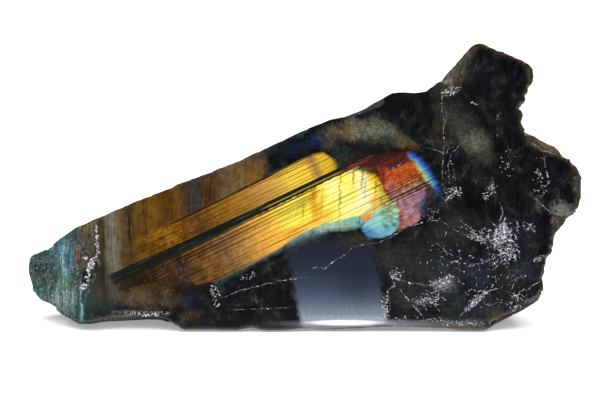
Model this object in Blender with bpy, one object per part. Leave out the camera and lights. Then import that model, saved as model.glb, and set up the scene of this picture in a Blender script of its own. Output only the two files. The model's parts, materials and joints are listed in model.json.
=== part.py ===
"""Rough labradorite chunk: one solid piece of feldspar, sawn and polished in front, broken everywhere else.

The stone is modelled upright in the frame of its polished face: x to the right along the face, y into the
stone and z up the face, all in millimetres. It is then leant back, ground flat underneath to stand, and
centred on its footprint. The object's own units are metres.
"""

import math
import random

import bmesh
import bpy
import numpy as np
from mathutils import Matrix, Vector, noise

MM = 0.001

# Driving sizes, in millimetres and degrees.
THICKNESS = 34.0
LEAN = 8.5
SAW_ALLOWANCE = 4.0

# The walls draw in towards this point of the base as they go back: (depth, share of the full outline).
DRAW_IN_TO = (12.0, 0.0)
WALL_RINGS = ((-SAW_ALLOWANCE, 1.0), (4.0, 0.985), (12.0, 0.945), (24.0, 0.885), (THICKNESS, 0.80))
# Left of this x the end wall runs straight back, so that the tip keeps its length.
TIP_FROM = -60.0

# Silhouette of the stone on the polished face, clockwise from its left foot: (x, z).
LEFT_TIP = [
    (-67.8, 3.2), (-71.0, 4.3), (-74.7, 6.2), (-76.7, 7.6), (-80.0, 9.0), (-82.1, 11.6), (-83.2, 15.3),
    (-83.7, 19.0), (-83.9, 21.4), (-82.8, 23.3), (-78.6, 25.6), (-74.2, 27.9), (-69.9, 30.4),
]
LONG_SLOPE = [
    (-62.4, 33.9), (-57.0, 36.5), (-49.5, 39.6), (-43.5, 41.9), (-40.8, 42.9), (-38.1, 44.4), (-36.0, 44.9),
    (-33.3, 46.2), (-32.1, 46.5), (-30.0, 47.6), (-28.2, 48.0), (-25.8, 49.1), (-19.8, 51.3), (-12.9, 54.5),
    (-7.2, 57.1), (-3.3, 59.1), (1.2, 61.1), (7.2, 63.5), (11.7, 64.6), (16.2, 66.4), (19.2, 67.8),
]
SHOULDER = [
    (21.0, 69.0), (23.4, 70.2), (26.1, 71.7), (29.7, 71.8), (32.7, 71.6), (36.3, 72.1), (38.1, 73.7),
]
TOP_BLOCK = [
    (40.0, 75.0), (43.8, 79.2), (48.6, 84.4), (49.8, 85.7), (51.3, 86.5), (53.1, 86.2), (54.6, 85.5),
    (58.2, 84.2), (63.9, 81.8), (66.6, 80.4), (68.2, 79.4), (68.5, 78.5), (68.1, 77.7), (68.8, 76.7),
    (68.3, 75.3), (66.3, 71.7), (65.9, 69.6), (66.1, 68.4), (65.4, 66.6), (65.0, 64.5), (64.8, 61.5),
]
RIGHT_FLANK = [
    (66.6, 59.7), (69.1, 59.0), (70.5, 58.1), (73.2, 56.5), (75.1, 56.1), (76.4, 55.0), (76.7, 53.3),
    (79.5, 51.6), (80.7, 50.1), (82.2, 48.6), (83.7, 46.4), (83.1, 45.0), (83.1, 41.4), (82.7, 39.0),
    (81.6, 37.1), (80.9, 35.3), (78.9, 34.5), (78.6, 32.7), (76.2, 30.2), (75.2, 29.6), (75.0, 27.9),
    (73.9, 24.0), (72.6, 21.3), (71.9, 18.2), (71.3, 16.8), (71.5, 12.0), (70.4, 9.3),
]
BASE = [
    (64.8, 6.2), (60.0, 3.8), (55.8, 1.5), (53.4, 0.7), (48.6, 0.7), (41.7, 1.5), (31.2, 1.8), (23.7, 1.9),
    (16.2, 1.5), (7.2, 1.0), (-0.9, 1.4), (-6.9, 0.8), (-12.3, 0.8), (-16.2, 1.6), (-20.4, 0.8),
    (-29.7, 1.0), (-36.3, 1.0), (-39.0, 2.7), (-41.7, 4.5), (-43.8, 4.3), (-46.8, 5.2), (-52.2, 5.5),
    (-56.4, 4.8), (-60.3, 4.2), (-64.8, 3.0),
]
OUTLINE = LEFT_TIP + LONG_SLOPE + SHOULDER + TOP_BLOCK + RIGHT_FLANK + BASE

# The left foot and the base reach a little lower behind the face, down to the ground. The tip stays clear.
FOOT_DROP = {4.0: 0.3, 12.0: 2.2, 24.0: 4.8, THICKNESS: 3.0}
FOOT_TOP = 6.5
TIP_CLEARS = (-74.0, -68.0)

# Breaks: each strikes off what lies beyond a flat plane through a point. A break is
# (point, way it faces, way it runs, length along the run, width across it).
FACE_BREAKS = {
    "tip_strip": ((-63.5, 0.0, 18.0), (-0.42, -0.90, 0.06), (0.13, 0.0, 0.99), 60.0, 70.0),
    "tip_face": ((-68.1, 2.0, 16.0), (-0.62, -0.78, 0.02), (0.0, 0.0, 1.0), 60.0, 60.0),
    "tip_underside": ((-80.0, 12.0, 8.2), (-0.42, -0.58, -0.70), (-0.8, 0.4, 0.4), 13.0, 14.0),
    "block_chamfer": ((48.0, 0.0, 79.7), (-0.77, -0.53, 0.35), (0.4, 0.0, 0.9), 16.0, 30.0),
    "block_top_edge": ((60.0, 0.0, 82.6), (0.30, -0.62, 0.72), (0.93, 0.0, -0.37), 24.0, 6.0),
    "block_right_edge": ((67.2, 0.0, 74.0), (0.72, -0.66, 0.10), (0.2, 0.0, 1.0), 13.0, 6.0),
    "shoulder_strip": ((18.0, 0.0, 65.4), (-0.28, -0.59, 0.76), (0.94, 0.0, 0.34), 13.0, 10.0),
    "slope_chip": ((-29.0, 0.0, 46.6), (-0.25, -0.60, 0.76), (0.92, 0.0, 0.39), 6.5, 6.0),
    "flank_gold_edge": ((71.4, 0.0, 54.6), (0.41, -0.57, 0.71), (0.87, 0.0, -0.50), 11.0, 10.0),
    "flank_right_edge": ((80.9, 0.0, 43.0), (0.78, -0.62, 0.05), (0.05, 0.0, 1.0), 16.0, 8.0),
    "flank_ledge": ((78.3, 2.6, 31.3), (0.30, -0.95, -0.05), (1.0, 0.3, 0.0), 9.5, 6.4),
    "flank_lower_edge": ((73.2, 0.0, 22.0), (0.80, -0.58, -0.12), (-0.25, 0.0, 1.0), 16.0, 8.0),
    "base_right_edge": ((62.5, 0.0, 6.2), (0.36, -0.62, -0.69), (0.89, 0.0, 0.45), 18.0, 8.0),
    "arch_edge": ((-50.0, 0.0, 5.9), (0.0, -0.68, -0.73), (1.0, 0.0, 0.05), 16.0, 8.0),
}
SIDE_BREAKS = {
    "slope_left": ((-58.0, 10.0, 34.0), (-0.40, 0.42, 0.81), (0.91, 0.0, 0.42), 44.0, 60.0),
    "slope_middle": ((-22.0, 7.0, 50.0), (-0.32, 0.55, 0.77), (0.92, 0.0, 0.39), 46.0, 60.0),
    "slope_right": ((12.0, 9.0, 64.0), (-0.34, 0.38, 0.86), (0.92, 0.0, 0.39), 40.0, 60.0),
    "block_left_back": ((44.0, 12.0, 77.0), (-0.62, 0.48, 0.62), (0.7, 0.0, 0.7), 26.0, 40.0),
    "block_top_back": ((60.0, 9.0, 81.0), (0.32, 0.45, 0.83), (0.93, 0.0, -0.37), 34.0, 40.0),
    "flank_top_back": ((75.0, 8.0, 53.0), (0.52, 0.44, 0.73), (0.8, 0.0, -0.6), 34.0, 40.0),
    "flank_right_back": ((81.5, 9.0, 42.0), (0.87, 0.48, 0.10), (0.0, 0.0, 1.0), 44.0, 50.0),
    "flank_low_back": ((72.0, 10.0, 16.0), (0.86, 0.46, -0.20), (0.1, 0.0, 1.0), 40.0, 50.0),
    "tip_back": ((-72.0, 30.0, 16.0), (-0.66, 0.75, 0.08), (0.0, 0.0, 1.0), 60.0, 60.0),
}
BACK_BREAKS = {
    "back_left": ((-54.0, 23.0, 20.0), (-0.20, 0.96, 0.18), (0.0, 0.0, 1.0), 70.0, 72.0),
    "back_centre": ((0.0, 29.0, 34.0), (-0.06, 0.92, 0.38), (1.0, 0.0, 0.1), 66.0, 46.0),
    "back_crown": ((22.0, 24.0, 54.0), (-0.20, 0.80, 0.56), (0.9, 0.2, 0.3), 70.0, 40.0),
    "back_right": ((58.0, 25.0, 30.0), (0.42, 0.90, 0.12), (0.0, 0.0, 1.0), 80.0, 44.0),
    "back_block": ((54.0, 17.0, 70.0), (0.10, 0.87, 0.48), (1.0, 0.0, 0.0), 50.0, 40.0),
    "back_foot": ((10.0, 31.0, 8.0), (0.05, 0.84, -0.54), (1.0, 0.0, 0.0), 150.0, 20.0),
}
# Steps left where the stone parted along its two cleavages, nearly at right angles: (corner, size).
CLEAVAGE_YAW = 12.0
CLEAVAGE_PITCH = -26.0
STEPS = {
    "step_left": ((-34.0, 26.0, 34.0), (30.0, 10.0, 16.0)),
    "step_centre": ((6.0, 29.5, 30.0), (34.0, 10.0, 13.0)),
    "step_low": ((30.0, 30.0, 12.0), (26.0, 8.0, 12.0)),
    "step_right": ((64.0, 20.0, 40.0), (16.0, 10.0, 18.0)),
    "step_slope": ((-8.0, 14.0, 56.0), (22.0, 12.0, 9.0)),
}
BREAK_REACH = 45.0

# Cracks open on the polished face: points along each, and its width and depth.
CRACKS = {
    "crack_block": ([(40.4, 72.2), (41.0, 68.0), (42.1, 64.4), (41.6, 61.0), (42.0, 57.0)], 0.5, 0.6),
    "crack_flank": ([(67.2, 40.9), (70.2, 38.4), (73.8, 34.8)], 0.4, 0.5),
    "crack_lower": ([(28.4, 12.4), (31.6, 8.9), (35.6, 4.6)], 0.4, 0.4),
}
# A crack's cutter starts this far in front of the face, and is this share of its depth at its two ends.
CRACK_MOUTH, CRACK_END = 1.0, 0.3
# Pits left in the face: (x, z, radius of the ball that left it), and how far out its centre lies.
TIP_PITS = [(-64.3, 16.5, 2.6), (-66.0, 13.6, 2.0), (-62.6, 20.0, 1.6), (42.6, 72.4, 1.9)]
PIT_CENTRE_OUT = 0.35

# Flakes struck off the sides and the back, each down to a flat scar: how many, how large, how deep, and how
# far the scar leans from the surface it was struck from. FLAKE_STEP is the highest step that one leaves.
# None starts nearer than the margins to the polished face or the foot.
FLAKES, FLAKE_SEED = 100, 5
# Each blow is aimed at a point this deep, between these ends of the stone and under the slope of its top.
AIM_FROM, AIM_TO, AIM_DEPTH = -60.0, 76.0, 14.0
SLOPE_STARTS_AT, SLOPE_RISE = -88.0, 0.42
AIM_HEIGHT = (0.1, 0.95)
# It comes in anywhere from straight above, round the back, to straight below, and this far past both.
PAST_VERTICAL = 0.2
SIDEWAYS = 0.5
FLAKE_LENGTH = (14.0, 38.0)
FLAKE_WIDTH = (9.0, 22.0)
FLAKE_DEPTH = (0.4, 1.9)
FLAKE_LEAN = 12.0
FLAKE_STEP = 9.0
EDGE_WAVE, WAVE_LENGTH = 0.8, 23.0
FACE_MARGIN, FOOT_MARGIN = 7.0, 9.0
SNAP_WITHIN, SNAP_JITTER = 27.0, 0.3

# Fracture relief: how far it stands out, how far apart it repeats, and the mesh that carries it.
VOXEL = 0.6
LUMP_HEIGHT, LUMP_SPACING = 0.45, 15.0
HACKLE_HEIGHT, HACKLE_SPACING = 0.2, 3.4
TERRACE_HEIGHT, TERRACE_STEP, TERRACE_WARP = 0.7, 5.0, 24.0
# Terraces bend by this many steps, and show only where their noise is above this range.
TERRACE_BEND, TERRACE_PATCH = 2.2, (-0.15, 0.35)
HACKLE_OFFSET, TERRACE_OFFSET = Vector((7.0, 3.0, 1.0)), Vector((3.0, 9.0, 5.0))
RIM_RELIEF = 0.15
RELIEF_FULL_AT = 10.0
TRIANGLES = 9200
CUT_TOLERANCE = 1e-7

STONE_COLOUR = (0.045, 0.055, 0.050, 1.0)
STONE_ROUGHNESS = 0.35


def clear_scene():
    for old in list(bpy.data.objects):
        bpy.data.objects.remove(old)


def link(name, mesh):
    made = bpy.data.objects.new(name, mesh)
    bpy.context.scene.collection.objects.link(made)
    return made


def smooth_step(low, high, value):
    share = min(max((value - low) / (high - low), 0.0), 1.0)
    return share * share * (3.0 - 2.0 * share)


def ring_point(x, z, depth, share):
    """A point of the outline on one wall ring, in metres."""
    centre_x, base_z = DRAW_IN_TO
    drop = FOOT_DROP.get(depth, 0.0) * smooth_step(*TIP_CLEARS, x) if z < FOOT_TOP else 0.0
    ring_x = centre_x + (x - centre_x) * share if x > TIP_FROM else x
    ring_z = base_z + (z - base_z) * share - drop
    return Vector((ring_x, depth, ring_z)) * MM


def rough_block():
    """The outline carried back through the wall rings, as one closed block."""
    block = bmesh.new()
    rings = []
    for depth, share in WALL_RINGS:
        rings.append([block.verts.new(ring_point(x, z, depth, share)) for x, z in OUTLINE])
    count = len(OUTLINE)
    for front, back in zip(rings, rings[1:]):
        for i in range(count):
            j = (i + 1) % count
            block.faces.new((front[i], front[j], back[j], back[i]))
    block.faces.new(rings[0])
    block.faces.new(rings[-1])
    bmesh.ops.recalc_face_normals(block, faces=block.faces)
    mesh = bpy.data.meshes.new("labradorite_chunk")
    block.to_mesh(mesh)
    block.free()
    return link("labradorite_chunk", mesh)


def box_cutter(name, frame, size, centre):
    """A box of this size and centre in the frame's own axes, kept out of the render."""
    box = bmesh.new()
    bmesh.ops.create_cube(box, size=1.0)
    box.transform(Matrix.Translation(Vector(centre) * MM) @ Matrix.Diagonal((*(Vector(size) * MM), 1.0)))
    box.transform(frame)
    mesh = bpy.data.meshes.new(name)
    box.to_mesh(mesh)
    box.free()
    cutter = link(name, mesh)
    cutter.hide_render = True
    cutter.display_type = "WIRE"
    return cutter


def axes_at(point, facing, along):
    """A frame at point whose z faces out of the stone and whose x runs along."""
    out = Vector(facing).normalized()
    run = Vector(along)
    run = (run - out * out.dot(run)).normalized()
    across = out.cross(run)
    frame = Matrix((run, across, out)).transposed().to_4x4()
    frame.translation = Vector(point) * MM
    return frame


def cleavage_turn():
    """The turn from the polished face's axes to those of the cleavage."""
    yaw = Matrix.Rotation(math.radians(CLEAVAGE_YAW), 4, "Z")
    return yaw @ Matrix.Rotation(math.radians(CLEAVAGE_PITCH), 4, "Y")


def break_cutters():
    cutters = []
    breaks = {**FACE_BREAKS, **SIDE_BREAKS, **BACK_BREAKS}
    for name, (point, facing, along, length, width) in breaks.items():
        frame = axes_at(point, facing, along)
        size = (length, width, BREAK_REACH)
        cutters.append(box_cutter(name, frame, size, (0.0, 0.0, BREAK_REACH / 2)))
    for name, (corner, size) in STEPS.items():
        frame = Matrix.Translation(Vector(corner) * MM) @ cleavage_turn()
        cutters.append(box_cutter(name, frame, size, (0.0, size[1] / 2, 0.0)))
    return cutters


def cut_away(stone, cutters):
    for cutter in cutters:
        cut = stone.modifiers.new(cutter.name, "BOOLEAN")
        cut.operation = "DIFFERENCE"
        cut.solver = "EXACT"
        cut.object = cutter


def bake(stone):
    """The stone's mesh becomes what its modifiers make of it."""
    graph = bpy.context.evaluated_depsgraph_get()
    mesh = bpy.data.meshes.new_from_object(stone.evaluated_get(graph))
    stone.modifiers.clear()
    stone.data = mesh
    mesh.name = stone.name


def even_out(stone):
    """An even mesh over the same shape, fine enough to carry the relief."""
    remesh = stone.modifiers.new("even_mesh", "REMESH")
    remesh.mode = "VOXEL"
    remesh.voxel_size = VOXEL * MM
    bake(stone)


def drop_crumbs(stone):
    """Keeps the mesh's largest body and drops the specks that re-meshing and cutting leave beside it."""
    work = bmesh.new()
    work.from_mesh(stone.data)
    unseen = set(work.verts)
    bodies = []
    while unseen:
        body = [unseen.pop()]
        for vertex in body:
            for edge in vertex.link_edges:
                other = edge.other_vert(vertex)
                if other in unseen:
                    unseen.remove(other)
                    body.append(other)
        bodies.append(body)
    bodies.sort(key=len)
    for crumb in bodies[:-1]:
        bmesh.ops.delete(work, geom=crumb, context="VERTS")
    work.to_mesh(stone.data)
    work.free()


def relief(place, depth, axes):
    """How far the broken surface stands out at a place, in millimetres. It fades near the polished face."""
    lump = noise.fractal(place / LUMP_SPACING, 1.0, 2.0, 2)
    hackle = noise.fractal(place / HACKLE_SPACING + HACKLE_OFFSET, 0.8, 2.1, 3)
    along = place.dot(axes[2]) / TERRACE_STEP + TERRACE_BEND * noise.noise(place / TERRACE_WARP)
    patch = smooth_step(*TERRACE_PATCH, noise.noise(place / TERRACE_WARP + TERRACE_OFFSET))
    terrace = patch * (along % 1.0) ** 2
    full = LUMP_HEIGHT * lump + HACKLE_HEIGHT * hackle - TERRACE_HEIGHT * terrace
    rim = RIM_RELIEF * hackle
    share = smooth_step(0.0, RELIEF_FULL_AT, depth)
    return rim + (full - rim) * share


def flake_facing(chance, normal, planes):
    """The way a scar faces: along a cleavage that lies near the surface, or else at a small lean to it."""
    jitter = Vector(chance.uniform(-1.0, 1.0) for _ in range(3)) * math.tan(math.radians(FLAKE_LEAN))
    near = max(planes, key=normal.dot)
    if normal.angle(near) < math.radians(SNAP_WITHIN):
        return (near + jitter * SNAP_JITTER).normalized()
    return (normal + jitter).normalized()


def strike_flakes(stone):
    """Presses the surface down to flat scars, each with wavy edges and a step along them."""
    chance = random.Random(FLAKE_SEED)
    planes = [Vector(row) for row in cleavage_turn().to_3x3().transposed()]
    planes += [-plane for plane in planes]
    mesh = stone.data
    points = np.empty(len(mesh.vertices) * 3, np.float32)
    mesh.vertices.foreach_get("co", points)
    points = points.reshape(-1, 3) / MM
    struck = 0
    while struck < FLAKES:
        along = chance.uniform(AIM_FROM, AIM_TO)
        height = (along - SLOPE_STARTS_AT) * SLOPE_RISE * chance.uniform(*AIM_HEIGHT)
        aim = Vector((along, AIM_DEPTH, height)) * MM
        turn = chance.uniform(-PAST_VERTICAL, math.pi + PAST_VERTICAL)
        sideways = chance.uniform(-SIDEWAYS, SIDEWAYS)
        inward = Vector((sideways, -math.sin(turn), math.cos(turn))).normalized()
        hit, place, normal, _ = stone.ray_cast(aim - inward, inward)
        if not hit or place.y < FACE_MARGIN * MM or place.z < FOOT_MARGIN * MM:
            continue
        facing = flake_facing(chance, normal, planes)
        floor = place / MM - facing * chance.uniform(*FLAKE_DEPTH)
        run = Vector(chance.uniform(-1.0, 1.0) for _ in range(3))
        frame = np.array(axes_at((0.0, 0.0, 0.0), facing, run).to_3x3())
        half_length = chance.uniform(*FLAKE_LENGTH) / 2
        half_width = chance.uniform(*FLAKE_WIDTH) / 2
        local = (points - np.array(floor)) @ frame
        phase = chance.uniform(0.0, math.tau)
        reach_x = local[:, 0] + EDGE_WAVE * np.sin(local[:, 1] * math.tau / WAVE_LENGTH + phase)
        reach_y = local[:, 1] + EDGE_WAVE * np.sin(local[:, 0] * math.tau / WAVE_LENGTH + 2.0 * phase)
        inside = (np.abs(reach_x) < half_length) & (np.abs(reach_y) < half_width)
        above = inside & (local[:, 2] > 0.0) & (local[:, 2] < FLAKE_STEP) & (points[:, 1] > FACE_MARGIN)
        points[above] -= local[above, 2:3] * np.array(facing)
        struck += 1
    mesh.vertices.foreach_set("co", (points * MM).ravel())
    mesh.update()


def roughen(stone):
    mesh = stone.data
    axes = cleavage_turn().to_3x3().transposed()
    moved = []
    for vertex in mesh.vertices:
        place = vertex.co / MM
        moved.append(vertex.co + vertex.normal * relief(place, place.y, axes) * MM)
    for vertex, co in zip(mesh.vertices, moved):
        vertex.co = co
    mesh.update()


def crack_cutter(name, points, width, depth):
    """A thin wedge that follows the crack's points, from in front of the face down to its depth."""
    wedge = bmesh.new()
    line = [Vector((x, 0.0, z)) for x, z in points]
    rows = []
    for i, here in enumerate(line):
        before, after = line[max(i - 1, 0)], line[min(i + 1, len(line) - 1)]
        run = (after - before).normalized()
        side = Vector((-run.z, 0.0, run.x)) * width
        ends = CRACK_END if i in (0, len(line) - 1) else 1.0
        mouth = Vector((0.0, -CRACK_MOUTH, 0.0))
        floor = Vector((0.0, depth * ends, 0.0))
        corners = (here + side + mouth, here - side + mouth, here + floor)
        rows.append([wedge.verts.new(corner * MM) for corner in corners])
    for one, two in zip(rows, rows[1:]):
        for i in range(3):
            j = (i + 1) % 3
            wedge.faces.new((one[i], one[j], two[j], two[i]))
    wedge.faces.new(rows[0])
    wedge.faces.new(rows[-1])
    bmesh.ops.recalc_face_normals(wedge, faces=wedge.faces)
    mesh = bpy.data.meshes.new(name)
    wedge.to_mesh(mesh)
    wedge.free()
    cutter = link(name, mesh)
    cutter.hide_render = True
    cutter.display_type = "WIRE"
    return cutter


def pit_cutter(name, x, z, radius):
    pit = bmesh.new()
    bmesh.ops.create_icosphere(pit, subdivisions=2, radius=radius * MM)
    pit.transform(Matrix.Translation(Vector((x, -radius * PIT_CENTRE_OUT, z)) * MM))
    mesh = bpy.data.meshes.new(name)
    pit.to_mesh(mesh)
    pit.free()
    cutter = link(name, mesh)
    cutter.hide_render = True
    cutter.display_type = "WIRE"
    return cutter


def slice_off(stone, outward):
    """Takes off what lies beyond the plane through the origin facing outward, and closes the cut flat."""
    work = bmesh.new()
    work.from_mesh(stone.data)
    every = work.verts[:] + work.edges[:] + work.faces[:]
    cut = bmesh.ops.bisect_plane(
        work, geom=every, dist=CUT_TOLERANCE, plane_co=(0.0, 0.0, 0.0), plane_no=outward, clear_outer=True
    )
    rim = [part for part in cut["geom_cut"] if isinstance(part, bmesh.types.BMEdge)]
    bmesh.ops.triangle_fill(work, use_beauty=True, edges=rim, normal=outward)
    bmesh.ops.recalc_face_normals(work, faces=work.faces)
    work.to_mesh(stone.data)
    work.free()
    drop_crumbs(stone)


def finish_material():
    material = bpy.data.materials.new("labradorite")
    material.use_nodes = True
    shader = material.node_tree.nodes["Principled BSDF"]
    shader.inputs["Base Color"].default_value = STONE_COLOUR
    shader.inputs["Roughness"].default_value = STONE_ROUGHNESS
    shader.inputs["Metallic"].default_value = 0.0
    return material


def stand_up(stone):
    """Leans the stone back, grinds it flat at z = 0 and centres it on its footprint."""
    stone.data.transform(Matrix.Rotation(math.radians(-LEAN), 4, "X"))
    slice_off(stone, (0.0, 0.0, -1.0))
    corners = [v.co for v in stone.data.vertices]
    middle_x = (min(c.x for c in corners) + max(c.x for c in corners)) / 2
    middle_y = (min(c.y for c in corners) + max(c.y for c in corners)) / 2
    stone.data.transform(Matrix.Translation((-middle_x, -middle_y, 0.0)))


def main():
    clear_scene()
    stone = rough_block()
    cut_away(stone, break_cutters())
    bake(stone)
    even_out(stone)
    strike_flakes(stone)
    roughen(stone)
    even_out(stone)
    thin = stone.modifiers.new("facets", "DECIMATE")
    thin.ratio = TRIANGLES / (2 * len(stone.data.polygons))
    bake(stone)
    slice_off(stone, (0.0, -1.0, 0.0))
    openings = [crack_cutter(name, *crack) for name, crack in CRACKS.items()]
    openings += [pit_cutter(f"pit_{i}", *pit) for i, pit in enumerate(TIP_PITS)]
    cut_away(stone, openings)
    bake(stone)
    stand_up(stone)
    stone.data.materials.clear()
    stone.data.materials.append(finish_material())


main()
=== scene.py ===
"""Rough labradorite chunk: the finish of its polished face, broken skin, cracks and crystal crust.

Face coordinates (u, v, w) are millimetres on the polished face: u along the length, v up the face from the
ground and w out of it. Lamella coordinates (s, t) are the same turned by the slant of the twin lamellae, with
s along them and t across them.
"""

import json
import math
from types import SimpleNamespace

import bmesh
import bpy
import numpy as np
from mathutils import Matrix, Vector, geometry, kdtree, noise

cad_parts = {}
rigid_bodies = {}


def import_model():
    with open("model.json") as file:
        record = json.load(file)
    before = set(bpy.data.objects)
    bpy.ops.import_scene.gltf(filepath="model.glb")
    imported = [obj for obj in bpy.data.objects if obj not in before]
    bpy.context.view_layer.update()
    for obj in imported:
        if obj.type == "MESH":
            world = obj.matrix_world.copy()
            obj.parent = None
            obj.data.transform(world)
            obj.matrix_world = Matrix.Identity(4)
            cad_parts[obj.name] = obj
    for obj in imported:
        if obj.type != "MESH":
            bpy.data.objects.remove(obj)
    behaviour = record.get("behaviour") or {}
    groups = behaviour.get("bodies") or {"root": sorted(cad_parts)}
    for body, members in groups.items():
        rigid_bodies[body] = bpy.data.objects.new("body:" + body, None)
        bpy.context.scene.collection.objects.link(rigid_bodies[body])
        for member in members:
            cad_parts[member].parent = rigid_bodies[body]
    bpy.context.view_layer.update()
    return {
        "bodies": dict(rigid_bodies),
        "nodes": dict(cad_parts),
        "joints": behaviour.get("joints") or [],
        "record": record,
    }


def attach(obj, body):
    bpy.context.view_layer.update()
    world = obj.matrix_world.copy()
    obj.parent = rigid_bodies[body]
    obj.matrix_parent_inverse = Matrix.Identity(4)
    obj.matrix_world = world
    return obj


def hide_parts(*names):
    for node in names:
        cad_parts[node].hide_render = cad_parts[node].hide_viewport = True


MM = 0.001

# ---------------------------------------------------------------------------------------------------------
# Sizes, in millimetres and degrees
# ---------------------------------------------------------------------------------------------------------

# The mesh: how finely the skin's facets are cut, and the spacing of the points over the polished face.
SKIN_CUTS = 3
FACE_GRID = 0.75
# Those points keep this share of their spacing clear of the face's rim.
RIM_GAP = 0.55
# How near points are one point, how near a plane they lie in it, how steep an edge is drawn sharp, and how
# far from the rim its distance is still told apart.
WELD = 0.001
PLANE_TOLERANCE = 0.02
SHARP_ANGLE = 38.0
RIM_REACH = 8.0
# How nearly two facings agree, as their dot product, on one plane and on about one plane.
SAME_FACING, NEAR_FACING = 0.99999, 0.999

# Worn edge of the polished face: how far in it starts and how deep it is rounded off.
WEAR_WIDTH, WEAR_DEPTH = 0.9, 0.16
# Near the base the edge is almost unworn: up to what height, and the share of the wear there.
FRESH_BELOW, FRESH_SHARE = 8.0, 0.1
# Chips along its edge: how deep and how far in they reach, their spacing, and the height they start at.
CHIP_DEPTH, CHIP_REACH, CHIP_SPACING, CHIPS_ABOVE = 1.0, 3.4, 1.9, 1.5
# They are shallow on the left and deepen to the right, from here and over this length.
CHIPS_LEFT, CHIPS_FROM, CHIPS_OVER = 0.16, 34.0, 10.0
# The block's top broke along a cleavage, so its edge is nearly straight from this height up.
CLEAN_TOP, CLEAN_SHARE = 76.0, 0.35
# The lip along the middle of the base, which is rounded more, and the length its ends taper over.
LIP_FROM, LIP_TO, LIP_TOP = -1.0, 28.0, 4.2
LIP_WIDTH, LIP_DEPTH, LIP_TAPER = 2.2, 0.5, 3.0

# Relief of the broken skin. The ledges bend to and fro, and come in patches.
GRAIN_HEIGHT, GRAIN_SPACING = 0.28, 1.5
LEDGE_HEIGHT, LEDGE_SPACING = 0.24, 1.7
LEDGE_BEND, BENDS_PER_METRE, PATCHES_PER_METRE = 7.0, 90.0, 55.0
CLEAVAGE_FACING = (0.42, 0.28, 0.86)
SKIN_FADE = 2.5

# Twin lamellae: their slant up to the right, and the usual distance between the dark lines that part them.
LAMELLA_SLANT = 25.5
LAMELLA_PITCH = 1.15
# Cleavage traces stand almost upright and lean this much from the face's own vertical.
CLEAVAGE_LEAN = 2.5
UPRIGHT = 90.0 - CLEAVAGE_LEAN
FELDSPAR_IOR = 1.56

# The studio: the camera, the paper it stands on and the lights.
CAMERA_DISTANCE = 650.0
CAMERA_ELEVATION = 11.5
CAMERA_AIM = (-0.6, 0.0, 36.1)
CAMERA_LENS = 128.8
FLOOR_SIZE = 12000.0
# Square softboxes: where each hangs, what it is aimed at, the length of its edge and its power in watts.
SOFTBOXES = {
    "overhead": ((0.0, 150.0, 1400.0), (0.0, 0.0, 0.0), 2200.0, 34.5),
    "front_left": ((-700.0, -900.0, 1100.0), (0.0, 0.0, 30.0), 900.0, 11.2),
    "front_right": ((700.0, -900.0, 1100.0), (0.0, 0.0, 30.0), 900.0, 11.2),
}
# Strength of the room's even light and of the paper's own glow.
ROOM_GLOW, PAPER_GLOW = 0.05, 0.3


# ---------------------------------------------------------------------------------------------------------
# Small helpers
# ---------------------------------------------------------------------------------------------------------

def linear(hex_colour):
    """An sRGB hex colour as linear red, green, blue and alpha."""
    shares = [int(hex_colour[i:i + 2], 16) / 255.0 for i in (1, 3, 5)]
    return tuple(c / 12.92 if c <= 0.04045 else ((c + 0.055) / 1.055) ** 2.4 for c in shares) + (1.0,)


def add(tree, kind, settings, feeds, take=None):
    """Adds a node, sets it, feeds its inputs with sockets or values, and returns one of its outputs."""
    node = tree.nodes.new(kind)
    for name, value in settings.items():
        setattr(node, name, value)
    for name, value in feeds.items():
        if isinstance(name, int):
            socket = node.inputs[name]
        else:
            socket = next(s for s in node.inputs if s.enabled and s.name == name)
        if isinstance(value, bpy.types.NodeSocket):
            tree.links.new(value, socket)
        else:
            socket.default_value = value
    live = [s for s in node.outputs if s.enabled]
    return next((s for s in live if s.name == take), live[0] if live else None)


def link_object(name, data):
    made = bpy.data.objects.new(name, data)
    bpy.context.scene.collection.objects.link(made)
    return made


def finished(work, name):
    """The mesh of a piece whose faces have been worked out."""
    mesh = bpy.data.meshes.new(name)
    work.to_mesh(mesh)
    work.free()
    return mesh


def new_material(name):
    """A fresh material with its node tree and its shader."""
    material = bpy.data.materials.new(name)
    material.use_nodes = True
    return material, material.node_tree, material.node_tree.nodes["Principled BSDF"]


# ---------------------------------------------------------------------------------------------------------
# The stone's mesh
# ---------------------------------------------------------------------------------------------------------

def polished_plane(mesh):
    """The polished face's own frame: u, v and w axes, with its origin where its plane meets the ground."""
    areas = {}
    for polygon in mesh.polygons:
        if polygon.normal.y < -0.9:
            key = tuple(round(c, 3) for c in polygon.normal)
            areas[key] = areas.get(key, 0.0) + polygon.area
    facing = Vector(max(areas, key=areas.get)).normalized()
    on_face = max((p for p in mesh.polygons if p.normal.dot(facing) > SAME_FACING), key=lambda p: p.area)
    lean = math.atan2(facing.z, -facing.y)
    offset = facing.dot(on_face.center)
    frame = Matrix.Rotation(math.pi / 2 - lean, 4, "X")
    frame.translation = Vector((0.0, -offset / math.cos(lean), 0.0))
    return frame, lean


def boundary_loops(work):
    """The closed loops of open edges, each as a list of vertices, longest first."""
    after = {}
    for edge in work.edges:
        if len(edge.link_faces) == 1:
            for vertex in edge.verts:
                after.setdefault(vertex, []).append(edge.other_vert(vertex))
    loops = []
    unseen = set(after)
    while unseen:
        start = min(unseen, key=lambda v: v.index)
        loop, before, here = [start], None, start
        unseen.discard(start)
        while True:
            onward = [v for v in after[here] if v is not before and (v in unseen or v is start)]
            if not onward or (onward[0] is start and len(onward) == 1):
                break
            before, here = here, next(v for v in onward if v is not start)
            unseen.discard(here)
            loop.append(here)
        loops.append(loop)
    return sorted(loops, key=len, reverse=True)


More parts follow.
